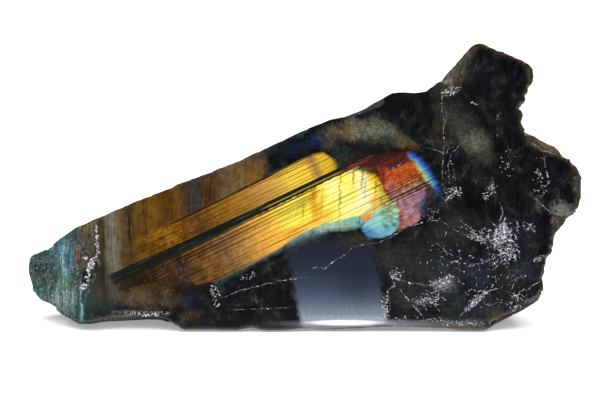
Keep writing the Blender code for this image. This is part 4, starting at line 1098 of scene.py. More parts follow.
# Marks of the broken skin in object coordinates: centre, half-size, softness, colour and strength.
SKIN_MARKS = {
    "tip_teal": ((-76.0, -8.0, 17.0), (13.0, 16.0, 17.0), 0.6, "#376c63", 0.95),
    "tip_top": ((-72.4, -10.0, 23.6), (4.4, 10.0, 5.0), 0.8, "#3c7c8c", 0.95),
    "tip_cyan": ((-71.2, -12.0, 18.6), (1.9, 10.0, 5.0), 0.8, "#84c4cc", 0.95),
    "tip_blue": ((-70.0, -12.0, 20.6), (0.9, 10.0, 2.4), 0.8, "#3468a0", 0.9),
    "tip_green": ((-69.8, -12.0, 13.8), (2.0, 10.0, 2.4), 0.8, "#4c8a54", 0.85),
    "tip_green_left": ((-73.2, -12.0, 16.0), (1.4, 10.0, 3.6), 0.8, "#4f7a5c", 0.85),
    "tip_dark": ((-77.4, -8.0, 15.6), (3.2, 12.0, 4.6), 0.8, "#24464a", 0.9),
    "tip_pale": ((-71.0, -14.0, 8.6), (5.0, 12.0, 3.4), 0.8, "#90b0ac", 0.9),
    "tip_foot": ((-67.6, -14.0, 4.0), (1.6, 12.0, 3.2), 0.8, "#2f6a58", 0.85),
    "tip_seam": ((-66.8, -16.0, 8.0), (0.7, 8.0, 8.0), 0.8, "#123c50", 0.9),
    "tip_brown": ((-63.4, -14.0, 25.6), (2.9, 10.0, 9.0), 0.4, "#463c22", 0.95),
    "tip_smooth": ((-64.4, -16.0, 7.0), (2.0, 8.0, 6.6), 0.5, "#1c4446", 0.95),
    "tip_olive": ((-64.0, -14.0, 31.6), (3.4, 10.0, 2.4), 0.8, "#6e5a1c", 0.9),
    "tip_seam_pale": ((-65.9, -16.0, 7.4), (0.35, 8.0, 6.6), 0.7, "#8cc0c4", 0.8),
    # The near-black mark in the tip's pit is painted shade in the hollow.
    "tip_pit_painted_shade": ((-64.9, -16.0, 16.6), (1.4, 8.0, 2.8), 0.6, "#0c0a0d", 0.95),
    "tip_ember": ((-66.9, -16.0, 21.4), (0.5, 8.0, 3.0), 0.7, "#c4581c", 0.95),
    "block_cream": ((42.6, -6.0, 78.0), (4.2, 14.0, 9.0), 0.8, "#8f8a74", 0.8),
    "block_olive": ((46.6, -12.0, 76.0), (3.0, 14.0, 6.0), 0.8, "#4f4828", 0.8),
    "block_top_rim": ((52.0, -12.0, 84.0), (10.0, 9.0, 3.0), 0.8, "#4a3a24", 0.85),
    "shoulder_gold": ((73.6, -10.0, 56.5), (8.0, 14.0, 5.0), 0.5, "#7e581a", 1.0),
    # crest_dark here is painted shade: it darkens a skin facet on the crest that the lights catch.
    "crest_dark": ((21.0, 0.0, 68.0), (9.0, 16.0, 6.0), 0.5, "#141412", 0.95),
    "block_side": ((60.0, 0.0, 76.0), (4.6, 16.0, 9.0), 0.6, "#1c1a16", 0.9),
    "flank_olive": ((82.0, -8.0, 43.0), (4.0, 12.0, 10.0), 0.8, "#4f4a36", 0.85),
    "tooth_olive": ((77.0, -8.0, 32.0), (4.0, 10.0, 4.0), 0.8, "#55502f", 0.85),
    # Pale grey along the front of the arch's underside.
    "arch_pale_grey": ((-50.0, -12.0, 2.6), (12.0, 12.0, 3.2), 0.8, "#8f8f8a", 0.8),
    # The dark mark under the arch is painted shade, for the narrow gap there.
    "arch_painted_shade": ((-38.0, -12.0, 1.4), (9.0, 12.0, 2.8), 0.8, "#1c1c1c", 0.9),
    "back_crust": ((12.0, 14.0, 42.0), (30.0, 12.0, 12.0), 0.8, "#8a7c5c", 0.6),
    "back_flash": ((-38.0, 10.0, 20.0), (20.0, 10.0, 9.0), 0.8, "#2f5868", 0.75),
    "back_right_flash": ((52.0, 14.0, 30.0), (14.0, 10.0, 12.0), 0.8, "#345a6c", 0.7),
}


def broken_labradorite():
    """Labradorite as it breaks: dull grey-green to black hackle with a painted pearly sheen on cleavage
    flats, brown iron stain and a pale weathered crust. The tip's cleavage shows teal and blue-green under a
    scatter of glints, partly real gloss off tilted flats and partly painted sheen."""
    material, tree, shader = new_material("broken_labradorite")
    place = add(tree, "ShaderNodeTexCoord", {}, {}, "Object")
    place = add(tree, "ShaderNodeMapping", {"vector_type": "POINT"}, {
        "Vector": place, "Scale": (1 / MM,) * 3})
    clouds = add(tree, "ShaderNodeTexNoise", {}, {
        "Vector": place, "Scale": 0.16, "Detail": 7.0, "Roughness": 0.7, "Distortion": 0.6})
    colour = ramp(tree, clouds, [
        (0.30, "#0f1111"), (0.42, "#1b1f1e"), (0.50, "#2a2f2c"), (0.58, "#41433a"), (0.66, "#5f5a48"),
        (0.76, "#8c8670")])
    crust = add(tree, "ShaderNodeTexNoise", {}, {
        "Vector": place, "Scale": 0.045, "Detail": 8.0, "Roughness": 0.68, "Distortion": 0.8})
    crust = ramp(tree, crust, [
        (0.36, "#1a2522"), (0.45, "#2c3733"), (0.52, "#4a4a40"), (0.58, "#7c7460"), (0.66, "#9a9078")])
    colour = lay_over(tree, colour, crust, fades(tree, clouds, 0.46, 0.12), 0.7)
    frayed = ragged(tree, place, 5.0, 2.0)
    for centre, half_size, soft, tint, strength in SKIN_MARKS.values():
        colour = lay_over(tree, colour, tint, ball(tree, frayed, centre, half_size, soft), strength)
    # Iron stain gathers in patches. Beside the polished face the skin is darkened, and browned on the right
    # where it is stained.
    stain = add(tree, "ShaderNodeTexNoise", {}, {
        "Vector": place, "Scale": 0.09, "Detail": 5.0, "Roughness": 0.7})
    stain = add(tree, "ShaderNodeMapRange", {}, {"Value": stain, "From Min": 0.56, "From Max": 0.7})
    colour = lay_over(tree, colour, "#5a3a1c", stain, 0.6)
    x, _, z = parts_of(tree, place)
    edge = add(tree, "ShaderNodeAttribute", {"attribute_name": "rim"}, {}, "Fac")
    beside = add(tree, "ShaderNodeMapRange", {}, {
        "Value": edge, "From Min": 0.4, "From Max": 4.0, "To Min": 1.0, "To Max": 0.0})
    beside = both(tree, beside, fades(tree, x, -58.0, 4.0))
    colour = lay_over(tree, colour, "#504c46", beside, 0.85, "MULTIPLY")
    stained = both(tree, both(tree, beside, stain), fades(tree, x, 40.0, 6.0))
    colour = lay_over(tree, colour, "#4a3e26", stained, 0.8)
    # Upright streaks, and cleavage flats a millimetre across that each face their own way. The palest flats
    # get a painted pearly sheen.
    threads = add(tree, "ShaderNodeMapping", {"vector_type": "POINT"}, {
        "Vector": place, "Rotation": (0.0, math.radians(8.0), 0.0), "Scale": (1.6, 0.5, 0.16)})
    threads = add(tree, "ShaderNodeTexNoise", {}, {"Vector": threads, "Scale": 1.0, "Detail": 4.0})
    threads = ramp(tree, threads, [(0.36, "#3c3c3c"), (0.5, "#b8b8b8"), (0.6, "#ffffff")])
    colour = lay_over(tree, colour, threads, 1.0, 0.85, "MULTIPLY")
    speckle = add(tree, "ShaderNodeTexNoise", {}, {
        "Vector": place, "Scale": 1.3, "Detail": 4.0, "Roughness": 0.7})
    speckle = ramp(tree, speckle, [(0.38, "#2c2c2c"), (0.5, "#a8a8a8"), (0.6, "#ffffff")])
    # The strip between the tip's cleavage and the polished face is smoother.
    rough = add(tree, "ShaderNodeMath", {"operation": "SUBTRACT", "use_clamp": True}, {
        0: 1.0, 1: between(tree, x, -66.4, -57.0, 0.6, 0.6)})
    rough = add(tree, "ShaderNodeMath", {"operation": "MAXIMUM"}, {0: rough, 1: 0.25})
    rough = both(tree, rough, ramp(tree, x, [(-66.0, "#ffffff"), (-56.0, "#b0b0b0")]))
    colour = lay_over(tree, colour, speckle, rough, 0.7, "MULTIPLY")
    flats = add(tree, "ShaderNodeTexVoronoi", {}, {
        "Vector": ragged(tree, place, 1.2, 0.6), "Scale": 1.9, "Randomness": 1.0}, "Color")
    own, tilt, _ = parts_of(tree, flats)
    # Painted sheen: pale colour laid on the palest cleavage cells.
    painted_sheen = add(tree, "ShaderNodeMapRange", {}, {"Value": own, "From Min": 0.84, "From Max": 0.98})
    colour = lay_over(tree, colour, "#a3b4b4", both(tree, painted_sheen, rough), 0.3)
    lean = add(tree, "ShaderNodeVectorMath", {"operation": "SUBTRACT"}, {0: flats, 1: (0.5, 0.5, 0.5)})
    lean = add(tree, "ShaderNodeVectorMath", {"operation": "SCALE"}, {0: lean, "Scale": 0.7})
    facing = add(tree, "ShaderNodeNewGeometry", {}, {}, "Normal")
    facing = add(tree, "ShaderNodeVectorMath", {"operation": "ADD"}, {0: facing, 1: lean})
    facing = add(tree, "ShaderNodeVectorMath", {"operation": "NORMALIZE"}, {0: facing})
    tree.links.new(facing, shader.inputs["Normal"])
    roughness = add(tree, "ShaderNodeMapRange", {}, {"Value": tilt, "To Min": 0.25, "To Max": 0.6})
    # Away from the tip's cleavage, and down at the base, pits and dust take the gloss off.
    low = add(tree, "ShaderNodeMapRange", {}, {
        "Value": z, "From Min": 3.0, "From Max": 7.0, "To Min": 0.5, "To Max": 0.0})
    dusty = add(tree, "ShaderNodeMath", {"operation": "MULTIPLY_ADD"}, {
        0: fades(tree, x, -60.0, 3.0), 1: 0.3, 2: low})
    roughness = add(tree, "ShaderNodeMath", {"operation": "ADD", "use_clamp": True}, {
        0: roughness, 1: dusty})
    tree.links.new(roughness, shader.inputs["Roughness"])
    shader.inputs["Specular IOR Level"].default_value = 0.3
    shader.inputs["IOR"].default_value = FELDSPAR_IOR
    tree.links.new(colour, shader.inputs["Base Color"])
    return material


# ---------------------------------------------------------------------------------------------------------
# Crushed cracks and crystal crust
# ---------------------------------------------------------------------------------------------------------

# Cracks that show white: (u, v) along each, and its width.
VEINS = {
    "slate_crack": ([(3.1, 19.2), (5.0, 19.5), (6.5, 18.9), (8.6, 20.7), (12.7, 23.0), (15.1, 25.4),
                     (17.5, 26.0), (22.5, 26.7)], 0.26),
    "long_upper": ([(-24.0, 10.3), (-20.8, 11.5), (-16.3, 13.0), (-7.1, 15.3), (1.5, 16.5)], 0.2),
    "long_lower": ([(-21.9, 6.7), (-12.0, 7.0), (-3.0, 7.6)], 0.16),
    "nook_streak": ([(-24.3, 9.1), (-25.0, 8.2), (-25.8, 7.6)], 0.4),
    "branch_top": ([(26.4, 18.6), (27.8, 15.9), (32.3, 14.7), (37.9, 14.1)], 0.42),
    "branch_down": ([(26.7, 17.1), (27.5, 14.1), (25.5, 12.7), (25.2, 9.7), (24.3, 7.3), (24.6, 3.8)], 0.46),
    "branch_right": ([(28.7, 13.3), (31.1, 10.3), (33.2, 7.6), (35.2, 5.8), (36.4, 3.8)], 0.36),
    "web_left": ([(32.6, 9.1), (36.4, 9.4), (40.9, 10.6)], 0.3),
    "web_right": ([(37.3, 9.7), (39.2, 8.2), (40.9, 6.1)], 0.26),
    "sweep": ([(59.2, 13.3), (55.7, 12.4), (52.7, 10.9), (50.4, 8.8), (48.3, 6.1), (46.2, 4.4)], 0.46),
    "sweep_inner": ([(53.6, 11.0), (51.6, 8.6), (49.4, 6.6)], 0.3),
    "sweep_branch": ([(52.1, 10.6), (55.7, 7.9), (58.7, 9.1)], 0.28),
    "star_left": ([(49.8, 28.1), (54.8, 27.2), (55.7, 21.0)], 0.3),
    "star_rise": ([(58.7, 38.9), (59.4, 35.6), (58.0, 31.6)], 0.26),
    "star_right": ([(61.4, 29.6), (63.1, 26.2), (64.9, 22.6)], 0.3),
    "star_streak_a": ([(57.0, 32.6), (58.4, 29.6), (60.6, 26.4)], 0.5),
    "star_streak_b": ([(60.4, 34.6), (59.0, 31.4), (56.4, 28.4)], 0.4),
    "star_streak_c": ([(59.2, 28.6), (61.8, 27.2), (62.8, 24.4)], 0.46),
    "star_streak_d": ([(57.6, 25.2), (60.2, 23.4), (63.6, 22.0)], 0.5),
    "star_streak_e": ([(62.6, 33.6), (66.4, 30.4), (67.6, 28.0)], 0.14),
    "star_streak_f": ([(60.8, 31.4), (61.8, 28.6), (61.2, 24.8)], 0.4),
    "star_streak_g": ([(54.2, 31.0), (56.6, 30.2), (58.6, 31.8), (60.6, 31.2)], 0.24),
    "star_streak_h": ([(55.4, 26.8), (57.4, 24.4), (57.0, 22.0)], 0.22),
    "star_streak_i": ([(57.2, 30.6), (59.0, 27.6), (60.4, 23.6)], 0.48),
    "star_streak_j": ([(59.6, 33.4), (61.6, 29.8), (62.4, 26.6)], 0.44),
    "star_streak_k": ([(56.2, 29.4), (59.4, 29.0), (62.2, 30.4)], 0.42),
    "star_streak_l": ([(57.4, 27.0), (60.4, 28.6), (63.0, 31.0)], 0.38),
    "star_streak_m": ([(58.2, 24.4), (61.6, 26.0), (64.4, 25.4)], 0.4),
    "star_streak_n": ([(56.0, 33.0), (57.6, 31.4), (57.8, 28.8)], 0.44),
    "star_streak_o": ([(58.4, 33.6), (60.2, 32.0), (62.6, 32.8)], 0.4),
    "star_streak_p": ([(60.2, 22.2), (62.4, 23.8), (63.8, 21.0)], 0.42),
    "web_foot": ([(36.4, 12.6), (38.6, 11.8), (40.6, 12.8), (42.8, 12.2)], 0.26),
    "web_rise": ([(40.2, 10.4), (40.8, 13.0), (42.4, 15.6)], 0.24),
    "low_right_a": ([(57.6, 20.8), (57.0, 18.0), (57.6, 15.4)], 0.26),
    "low_right_b": ([(60.4, 12.6), (62.4, 10.8), (64.6, 11.6)], 0.26),
    "low_right_c": ([(44.6, 22.8), (42.2, 24.4), (40.0, 26.6)], 0.2),
    "red_crack": ([(23.8, 47.4), (26.2, 48.8), (28.6, 49.6), (30.8, 51.4)], 0.16),
    "base_glints": ([(28.0, 3.9), (33.0, 2.9), (39.0, 4.2), (44.0, 2.8), (49.0, 3.4)], 0.16),
    "teal_side": ([(44.6, 30.8), (48.0, 29.2), (52.4, 27.4), (54.6, 26.0)], 0.16),
    "web_mid": ([(33.0, 8.6), (35.0, 10.2), (38.6, 9.0), (41.0, 9.8)], 0.22),
    "arc_top": ([(36.6, 55.0), (40.4, 53.8), (43.4, 53.2)], 0.14),
    "flank_straight": ([(67.5, 41.4), (70.5, 38.5), (73.8, 35.5)], 0.22),
    "flank_ledge": ([(73.8, 35.3), (76.4, 35.0), (79.4, 34.8)], 0.34),
    "flank_chain": ([(71.4, 53.3), (72.0, 48.2), (73.2, 45.0), (71.0, 42.6), (67.8, 41.6)], 0.18),
    "block_crack": ([(41.2, 70.5), (41.4, 66.0), (42.2, 63.1), (41.8, 58.6), (41.9, 54.2)], 0.2),
    "block_hook": ([(43.8, 53.3), (45.6, 54.5), (46.4, 55.3), (46.8, 56.6)], 0.34),
    "column_left": ([(41.8, 54.0), (41.4, 48.0), (41.9, 42.0)], 0.14),
    "column_right": ([(44.0, 53.6), (43.2, 49.6), (43.8, 44.0)], 0.16),
    "arc_foot": ([(41.2, 40.2), (42.6, 39.4), (44.6, 41.4), (47.2, 42.6)], 0.26),
    "teal_foot": ([(22.5, 26.6), (27.0, 28.8), (30.8, 31.3), (36.7, 33.1), (40.9, 33.4), (43.8, 31.4)], 0.14),
    "matrix_upper": ([(46.8, 33.4), (50.0, 30.8), (52.0, 29.6)], 0.26),
    "matrix_ring": ([(43.8, 20.4), (45.2, 21.2), (46.8, 20.6), (46.2, 19.2), (44.8, 19.4)], 0.24),
    "matrix_bridge": ([(49.8, 20.2), (53.3, 20.6), (55.4, 21.8), (57.8, 21.9)], 0.34),
    "right_chip": ([(66.1, 32.8), (67.3, 31.9), (69.0, 29.9)], 0.34),
    "right_edge_crack": ([(70.5, 15.4), (68.4, 13.8), (66.4, 12.4)], 0.26),
    "foot_crack": ([(63.1, 9.6), (64.0, 8.2), (63.4, 6.8)], 0.3),
    "tip_vein": ([(-61.2, 32.6), (-60.8, 28.0), (-60.4, 25.0), (-61.0, 22.6), (-62.6, 20.6)], 0.75),
}

# Crushed patches: centre, half-size, turn, and flakes to the square millimetre.
CRUSHED = {
    "star": ((59.6, 27.4), (4.4, 8.4), -18.0, 1.5),
    "star_core": ((58.8, 29.0), (2.0, 4.0), -24.0, 3.4),
    "star_right": ((61.6, 25.6), (1.8, 3.6), -30.0, 1.8),
    "star_foot": ((60.6, 22.8), (4.6, 2.4), 10.0, 1.6),
    "star_left": ((53.0, 28.4), (4.6, 1.8), -12.0, 2.6),
    "branch_joint": ((28.2, 17.0), (2.4, 2.2), 0.0, 4.5),
    "branch_foot": ((24.8, 7.4), (1.5, 4.6), 0.0, 3.0),
    "bright_patch": ((42.4, 14.8), (4.4, 2.4), 8.0, 5.0),
    "web": ((37.0, 9.4), (5.0, 2.4), 10.0, 2.6),
    "sweep": ((51.4, 9.6), (4.6, 1.2), 48.0, 3.4),
    "nook": ((-25.8, 10.9), (1.5, 3.4), 14.0, 4.2),
    "specks": ((-16.0, 16.8), (2.8, 1.1), 18.0, 2.6),
    "column": ((44.0, 46.6), (2.6, 9.0), 0.0, 0.9),
    "column_foot": ((44.9, 41.6), (2.6, 1.8), 20.0, 4.2),
    "vee": ((55.8, 42.4), (1.6, 3.6), -30.0, 1.8),
    "upper_specks": ((61.0, 49.6), (2.6, 6.4), 0.0, 0.55),
    "block_specks": ((51.5, 68.0), (1.6, 0.7), -10.0, 1.2),
    "block_low": ((57.4, 58.8), (1.8, 0.7), -20.0, 1.6),
    "block_side": ((58.0, 63.6), (0.9, 1.2), 0.0, 1.2),
    "block_foot": ((43.6, 71.6), (3.2, 1.4), 20.0, 2.4),
    "right_specks": ((71.0, 46.0), (3.0, 7.0), 0.0, 0.5),
    "right_chip": ((67.4, 31.6), (1.6, 2.4), 40.0, 2.2),
    "flank_spots": ((70.4, 22.0), (1.9, 1.0), 20.0, 3.2),
    "foot_right": ((63.6, 9.0), (2.2, 3.0), 0.0, 1.6),
    "foot_left_edge": ((30.0, 4.2), (5.0, 1.1), 8.0, 1.0),
    "foot_mid_edge": ((42.0, 3.4), (6.0, 1.3), -4.0, 0.9),
    "matrix": ((50.0, 19.0), (16.0, 13.0), 0.0, 0.26),
    "foot_pale": ((49.0, 2.6), (8.0, 0.9), 0.0, 1.6),
    "right_low": ((63.0, 12.0), (4.4, 6.4), -30.0, 0.4),
    "arc_specks": ((39.0, 35.0), (3.2, 2.2), 10.0, 0.9),
    "arch_glints": ((-46.0, 5.6), (8.0, 0.9), 0.0, 2.0),
}

# The crust of small crystals beside the tip's pits: centre, half-size, turn and crystals to the square mm.
CRUST = {
    "upper": ((-62.5, 20.2), (0.9, 2.2), -22.0, 8.0),
    "middle": ((-63.5, 16.6), (0.8, 2.4), -6.0, 9.0),
    "lower": ((-64.8, 13.6), (1.6, 0.8), 20.0, 8.0),
    "hook": ((-64.0, 22.2), (1.2, 0.5), 0.0, 6.0),
    "top_vein": ((-60.7, 28.6), (0.5, 4.2), -2.0, 4.0),
}

# Inputs of the trees that make them. Flakes and crystals are sized across, along and out of the face.
VEIN_SIZES = {
    "Step": 0.25 * MM,
    "Wander": 0.9 * MM,
    "Wander Spacing": 1.5 * MM,
    "Width Spacing": 0.7 * MM,
    "Turn": (0.0, 0.0, 0.0),
    "Place": (0.0, 0.0, 0.0),
    "Seed": 2.0,
}
SCATTER_SIZES = {
    "Smallest": (0.03 * MM, 0.08 * MM, 0.05 * MM),
    "Largest": (0.1 * MM, 0.68 * MM, 0.1 * MM),
    "Tilt": 0.12,
    "Sides": 4,
    "Clump Spacing": 1.1 * MM,
    "Turn": (0.0, 0.0, 0.0),
    "Place": (0.0, 0.0, 0.0),
    "Seed": 7,
}
CRYSTAL_SIZES = {
    **SCATTER_SIZES,
    "Smallest": (0.1 * MM, 0.12 * MM, 0.3 * MM),
    "Largest": (0.26 * MM, 0.42 * MM, 0.8 * MM),
    "Tilt": 0.9,
    "Sides": 6,
}
# How far each is sunk into the face.
FLAKE_SINK, CRYSTAL_SINK = 0.02, 0.35


def onto_face(tree, size, made, material):
    """The end of a tree that works flat: its shapes are laid on the polished face and given a material."""
    laid = add(tree, "GeometryNodeTransform", {}, {
        "Geometry": made, "Translation": size["Place"], "Rotation": size["Turn"]})
    real = add(tree, "GeometryNodeRealizeInstances", {}, {"Geometry": laid})
    done = add(tree, "GeometryNodeSetMaterial", {}, {"Geometry": real, "Material": material})
    tree.links.new(done, tree.nodes.new("NodeGroupOutput").inputs["Geometry"])


def vein_tree(material):
    """Thin closed ribbons along crack lines, which wander, swell and pinch out."""
    tree, size = new_tree("crushed_veins", VEIN_SIZES)
    line = add(tree, "GeometryNodeMeshToCurve", {}, {"Mesh": size["Geometry"]})
    line = add(tree, "GeometryNodeResampleCurve", {"mode": "LENGTH"}, {
        "Curve": line, "Length": size["Step"]})
    place = add(tree, "GeometryNodeInputPosition", {}, {})
    bends = add(tree, "ShaderNodeMath", {"operation": "DIVIDE"}, {0: 1.0, 1: size["Wander Spacing"]})
    bend = add(tree, "ShaderNodeTexNoise", {"noise_dimensions": "4D"}, {
        "Vector": place, "W": size["Seed"], "Scale": bends, "Detail": 5.0, "Roughness": 0.78}, "Color")
    bend = add(tree, "ShaderNodeVectorMath", {"operation": "SUBTRACT"}, {0: bend, 1: (0.5, 0.5, 0.5)})
    bend = add(tree, "ShaderNodeVectorMath", {"operation": "MULTIPLY"}, {0: bend, 1: (2.0, 2.0, 0.0)})
    bend = add(tree, "ShaderNodeVectorMath", {"operation": "SCALE"}, {0: bend, "Scale": size["Wander"]})
    swells = add(tree, "ShaderNodeMath", {"operation": "DIVIDE"}, {0: 1.0, 1: size["Width Spacing"]})
    swell = add(tree, "ShaderNodeTexNoise", {"noise_dimensions": "4D"}, {
        "Vector": place, "W": size["Seed"], "Scale": swells, "Detail": 3.0, "Roughness": 0.6})
    swell = add(tree, "ShaderNodeMapRange", {}, {
        "Value": swell, "From Min": 0.43, "From Max": 0.66, "To Min": 0.01, "To Max": 2.2})
    width = add(tree, "GeometryNodeInputNamedAttribute", {"data_type": "FLOAT"}, {"Name": "width"})
    radius = add(tree, "ShaderNodeMath", {"operation": "MULTIPLY"}, {0: swell, 1: width})
    line = add(tree, "GeometryNodeSetPosition", {}, {"Geometry": line, "Offset": bend})
    line = add(tree, "GeometryNodeSetCurveNormal", {"mode": "Z_UP"}, {"Curve": line})
    line = add(tree, "GeometryNodeSetCurveRadius", {}, {"Curve": line, "Radius": radius})
    section = add(tree, "GeometryNodeCurvePrimitiveQuadrilateral", {}, {"Width": 1.0, "Height": 0.22})
    ribbon = add(tree, "GeometryNodeCurveToMesh", {}, {
        "Curve": line, "Profile Curve": section, "Scale": radius, "Fill Caps": True})
    onto_face(tree, size, ribbon, material)
    return tree


def scatter_tree(name, material):
    """Small plates or crystals strewn over flat patches, thick in clumps, each with its own painted glint, a
    random brightness.
    """
    tree, size = new_tree(name, SCATTER_SIZES)
    place = add(tree, "GeometryNodeInputPosition", {}, {})
    clumps = add(tree, "ShaderNodeMath", {"operation": "DIVIDE"}, {0: 1.0, 1: size["Clump Spacing"]})
    clump = add(tree, "ShaderNodeTexNoise", {}, {
        "Vector": place, "Scale": clumps, "Detail": 3.0, "Roughness": 0.6})
    clump = add(tree, "ShaderNodeMapRange", {}, {
        "Value": clump, "From Min": 0.48, "From Max": 0.66, "To Max": 4.6})
    thick = add(tree, "GeometryNodeInputNamedAttribute", {"data_type": "FLOAT"}, {"Name": "thickly"})
    density = add(tree, "ShaderNodeMath", {"operation": "MULTIPLY"}, {0: clump, 1: thick})
    points = add(tree, "GeometryNodeDistributePointsOnFaces", {"distribute_method": "RANDOM"}, {
        "Mesh": size["Geometry"], "Density": density, "Seed": size["Seed"]})
    grain = add(tree, "GeometryNodeMeshCone", {}, {
        "Vertices": size["Sides"], "Radius Top": 0.45, "Radius Bottom": 1.0, "Depth": 1.0})
    down = add(tree, "ShaderNodeMath", {"operation": "MULTIPLY"}, {0: size["Tilt"], 1: -1.0})
    low = add(tree, "ShaderNodeCombineXYZ", {}, {"X": down, "Y": down, "Z": 0.0})
    high = add(tree, "ShaderNodeCombineXYZ", {}, {"X": size["Tilt"], "Y": size["Tilt"], "Z": math.tau})
    turn = add(tree, "FunctionNodeRandomValue", {"data_type": "FLOAT_VECTOR"}, {
        "Min": low, "Max": high, "Seed": size["Seed"]})
    later = add(tree, "FunctionNodeRandomValue", {"data_type": "FLOAT_VECTOR"}, {
        "Min": size["Smallest"], "Max": size["Largest"], "Seed": 11})
    strewn = add(tree, "GeometryNodeInstanceOnPoints", {}, {
        "Points": points, "Instance": grain, "Rotation": turn, "Scale": later})
    # A painted glint: each plate or crystal gets a random brightness.
    painted_glint = add(tree, "FunctionNodeRandomValue", {"data_type": "FLOAT"}, {"Min": 0.0, "Max": 1.0, "Seed": 5})
    strewn = add(tree, "GeometryNodeStoreNamedAttribute", {"data_type": "FLOAT", "domain": "INSTANCE"}, {
        "Geometry": strewn, "Name": "painted_glint", "Value": painted_glint})
    onto_face(tree, size, strewn, material)
    return tree


def line_mesh(name, lines):
    """Lines in face coordinates, each point carrying its line's width."""
    work = bmesh.new()
    width = work.verts.layers.float.new("width")
    for points, wide in lines.values():
        corners = [work.verts.new((u * MM, v * MM, 0.0)) for u, v in points]
        for corner in corners:
            corner[width] = wide * MM
        corners[0][width] = corners[-1][width] = wide * 0.3 * MM
        for one, two in zip(corners, corners[1:]):
            work.edges.new((one, two))
    return finished(work, name)


def patch_mesh(name, patches):
    """Flat ovals in face coordinates, each face carrying how thickly it is strewn."""
    work = bmesh.new()
    thickly = work.faces.layers.float.new("thickly")
    for centre, half_size, turn, count in patches.values():
        for share in (1.0, 0.6):
            rim = []
            for i in range(16):
                angle = math.tau * i / 16
                local = Vector((math.cos(angle) * half_size[0], math.sin(angle) * half_size[1])) * share
                local.rotate(Matrix.Rotation(math.radians(turn), 2))
                rim.append(work.verts.new(((centre[0] + local.x) * MM, (centre[1] + local.y) * MM, 0.0)))
            work.faces.new(rim)[thickly] = count / (MM * MM)
    return finished(work, name)


def on_the_face(name, mesh, tree, sizes, frame, sink):
    """Runs a flat tree on a mesh and lays the result on the polished face, sunk into it by this much."""
    piece = link_object(name, mesh)
    place = frame @ Vector((0.0, 0.0, -sink * MM))
    grow(piece, tree, {**sizes, "Turn": tuple(frame.to_euler()), "Place": tuple(place)})
    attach(piece, "root")
    return piece


def crushed_feldspar():
    """Feldspar crushed along a crack and polished with the rest: white and sugary, with a painted glint that
    makes some grains white and others grey at random."""
    material, tree, shader = new_material("crushed_feldspar")
    place = add(tree, "ShaderNodeTexCoord", {}, {}, "Object")
    sugar = add(tree, "ShaderNodeTexNoise", {}, {"Vector": place, "Scale": 1 / (0.9 * MM), "Detail": 3.0})
    # Each grain's random painted glint.
    own = add(tree, "ShaderNodeAttribute", {"attribute_name": "painted_glint"}, {}, "Fac")
    bright = add(tree, "ShaderNodeMath", {"operation": "MULTIPLY_ADD"}, {0: own, 1: 0.35, 2: sugar})
    colour = ramp(tree, bright, [(0.42, "#2a2c32"), (0.54, "#6e7080"), (0.66, "#c6c6d4"), (0.78, "#ffffff")])
    shader.inputs["Roughness"].default_value = 0.3
    shader.inputs["IOR"].default_value = FELDSPAR_IOR
    tree.links.new(colour, shader.inputs["Base Color"])
    return material


def clear_crystals():
    """A druse of small feldspar crystals with a glassy gloss, milky white to grey by a painted glint that is
    random for each crystal.
    """
    material, tree, shader = new_material("clear_crystals")
    own = add(tree, "ShaderNodeAttribute", {"attribute_name": "painted_glint"}, {}, "Fac")
    colour = ramp(tree, own, [(0.0, "#4a4c54"), (0.4, "#8c8e96"), (0.75, "#d4d4da"), (1.0, "#ffffff")])
    shader.inputs["Roughness"].default_value = 0.2
    shader.inputs["IOR"].default_value = FELDSPAR_IOR
    tree.links.new(colour, shader.inputs["Base Color"])
    return material


# ---------------------------------------------------------------------------------------------------------
# Studio
# ---------------------------------------------------------------------------------------------------------

def pale_paper():
    """Matt pale paper, lit a little from below, as on a light table, so shadows on it stay soft and pale."""
    material, _, shader = new_material("pale_paper")
    shader.inputs["Base Color"].default_value = linear("#f4f4f4")
    shader.inputs["Roughness"].default_value = 0.9
    shader.inputs["Emission Color"].default_value = linear("#ffffff")
    shader.inputs["Emission Strength"].default_value = PAPER_GLOW
    return material


def make_floor():
    work = bmesh.new()
    bmesh.ops.create_grid(work, x_segments=8, y_segments=8, size=FLOOR_SIZE / 2 * MM)
    floor = link_object("floor", finished(work, "floor"))
    floor.data.materials.append(pale_paper())


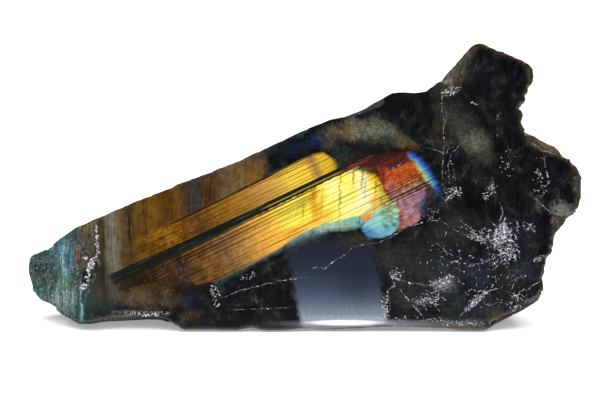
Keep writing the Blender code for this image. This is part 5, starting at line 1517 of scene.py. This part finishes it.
def aim_from(held, place, aim):
    """Puts a lamp or the camera in its place and turns it to look at a point."""
    held.location = place
    held.rotation_euler = (aim - held.location).to_track_quat("-Z", "Y").to_euler()


def light_studio():
    for name, (place, aim, edge, power) in SOFTBOXES.items():
        lamp = bpy.data.lights.new(name, "AREA")
        lamp.size = edge * MM
        lamp.energy = power
        aim_from(link_object(name, lamp), Vector(place) * MM, Vector(aim) * MM)
    world = bpy.data.worlds.new("studio")
    bpy.context.scene.world = world
    world.use_nodes = True
    world.node_tree.nodes["Background"].inputs["Color"].default_value = linear("#ffffff")
    world.node_tree.nodes["Background"].inputs["Strength"].default_value = ROOM_GLOW
    bpy.context.scene.view_settings.view_transform = "Standard"


def place_camera():
    camera = bpy.data.cameras.new("camera")
    camera.sensor_width = 36.0
    camera.lens = CAMERA_LENS
    camera.clip_start = 0.01
    rise = math.radians(CAMERA_ELEVATION)
    aim = Vector(CAMERA_AIM) * MM
    place = aim + Vector((0.0, -math.cos(rise), math.sin(rise))) * CAMERA_DISTANCE * MM
    held = link_object("camera", camera)
    aim_from(held, place, aim)
    bpy.context.scene.camera = held


# ---------------------------------------------------------------------------------------------------------
# The whole
# ---------------------------------------------------------------------------------------------------------

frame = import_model()
chunk = frame["nodes"]["labradorite_chunk"]

mesh, face_frame, lean = stone_mesh(chunk)
stone = link_object("labradorite_stone", mesh)
polished = polished_labradorite(face_frame, lean)
broken = broken_labradorite()
grow(stone, skin_relief(polished, broken), SKIN_SIZES)
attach(stone, "root")
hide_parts("labradorite_chunk")

sugar = crushed_feldspar()
on_the_face("crushed_veins", line_mesh("veins", VEINS), vein_tree(sugar), VEIN_SIZES, face_frame, 0.0)
on_the_face("crushed_grains", patch_mesh("crushed", CRUSHED), scatter_tree("crushed_grains", sugar),
            SCATTER_SIZES, face_frame, FLAKE_SINK)
crystals = clear_crystals()
on_the_face("crystal_crust", patch_mesh("crust", CRUST), scatter_tree("crystal_crust", crystals),
            CRYSTAL_SIZES, face_frame, CRYSTAL_SINK)

make_floor()
light_studio()
place_camera()
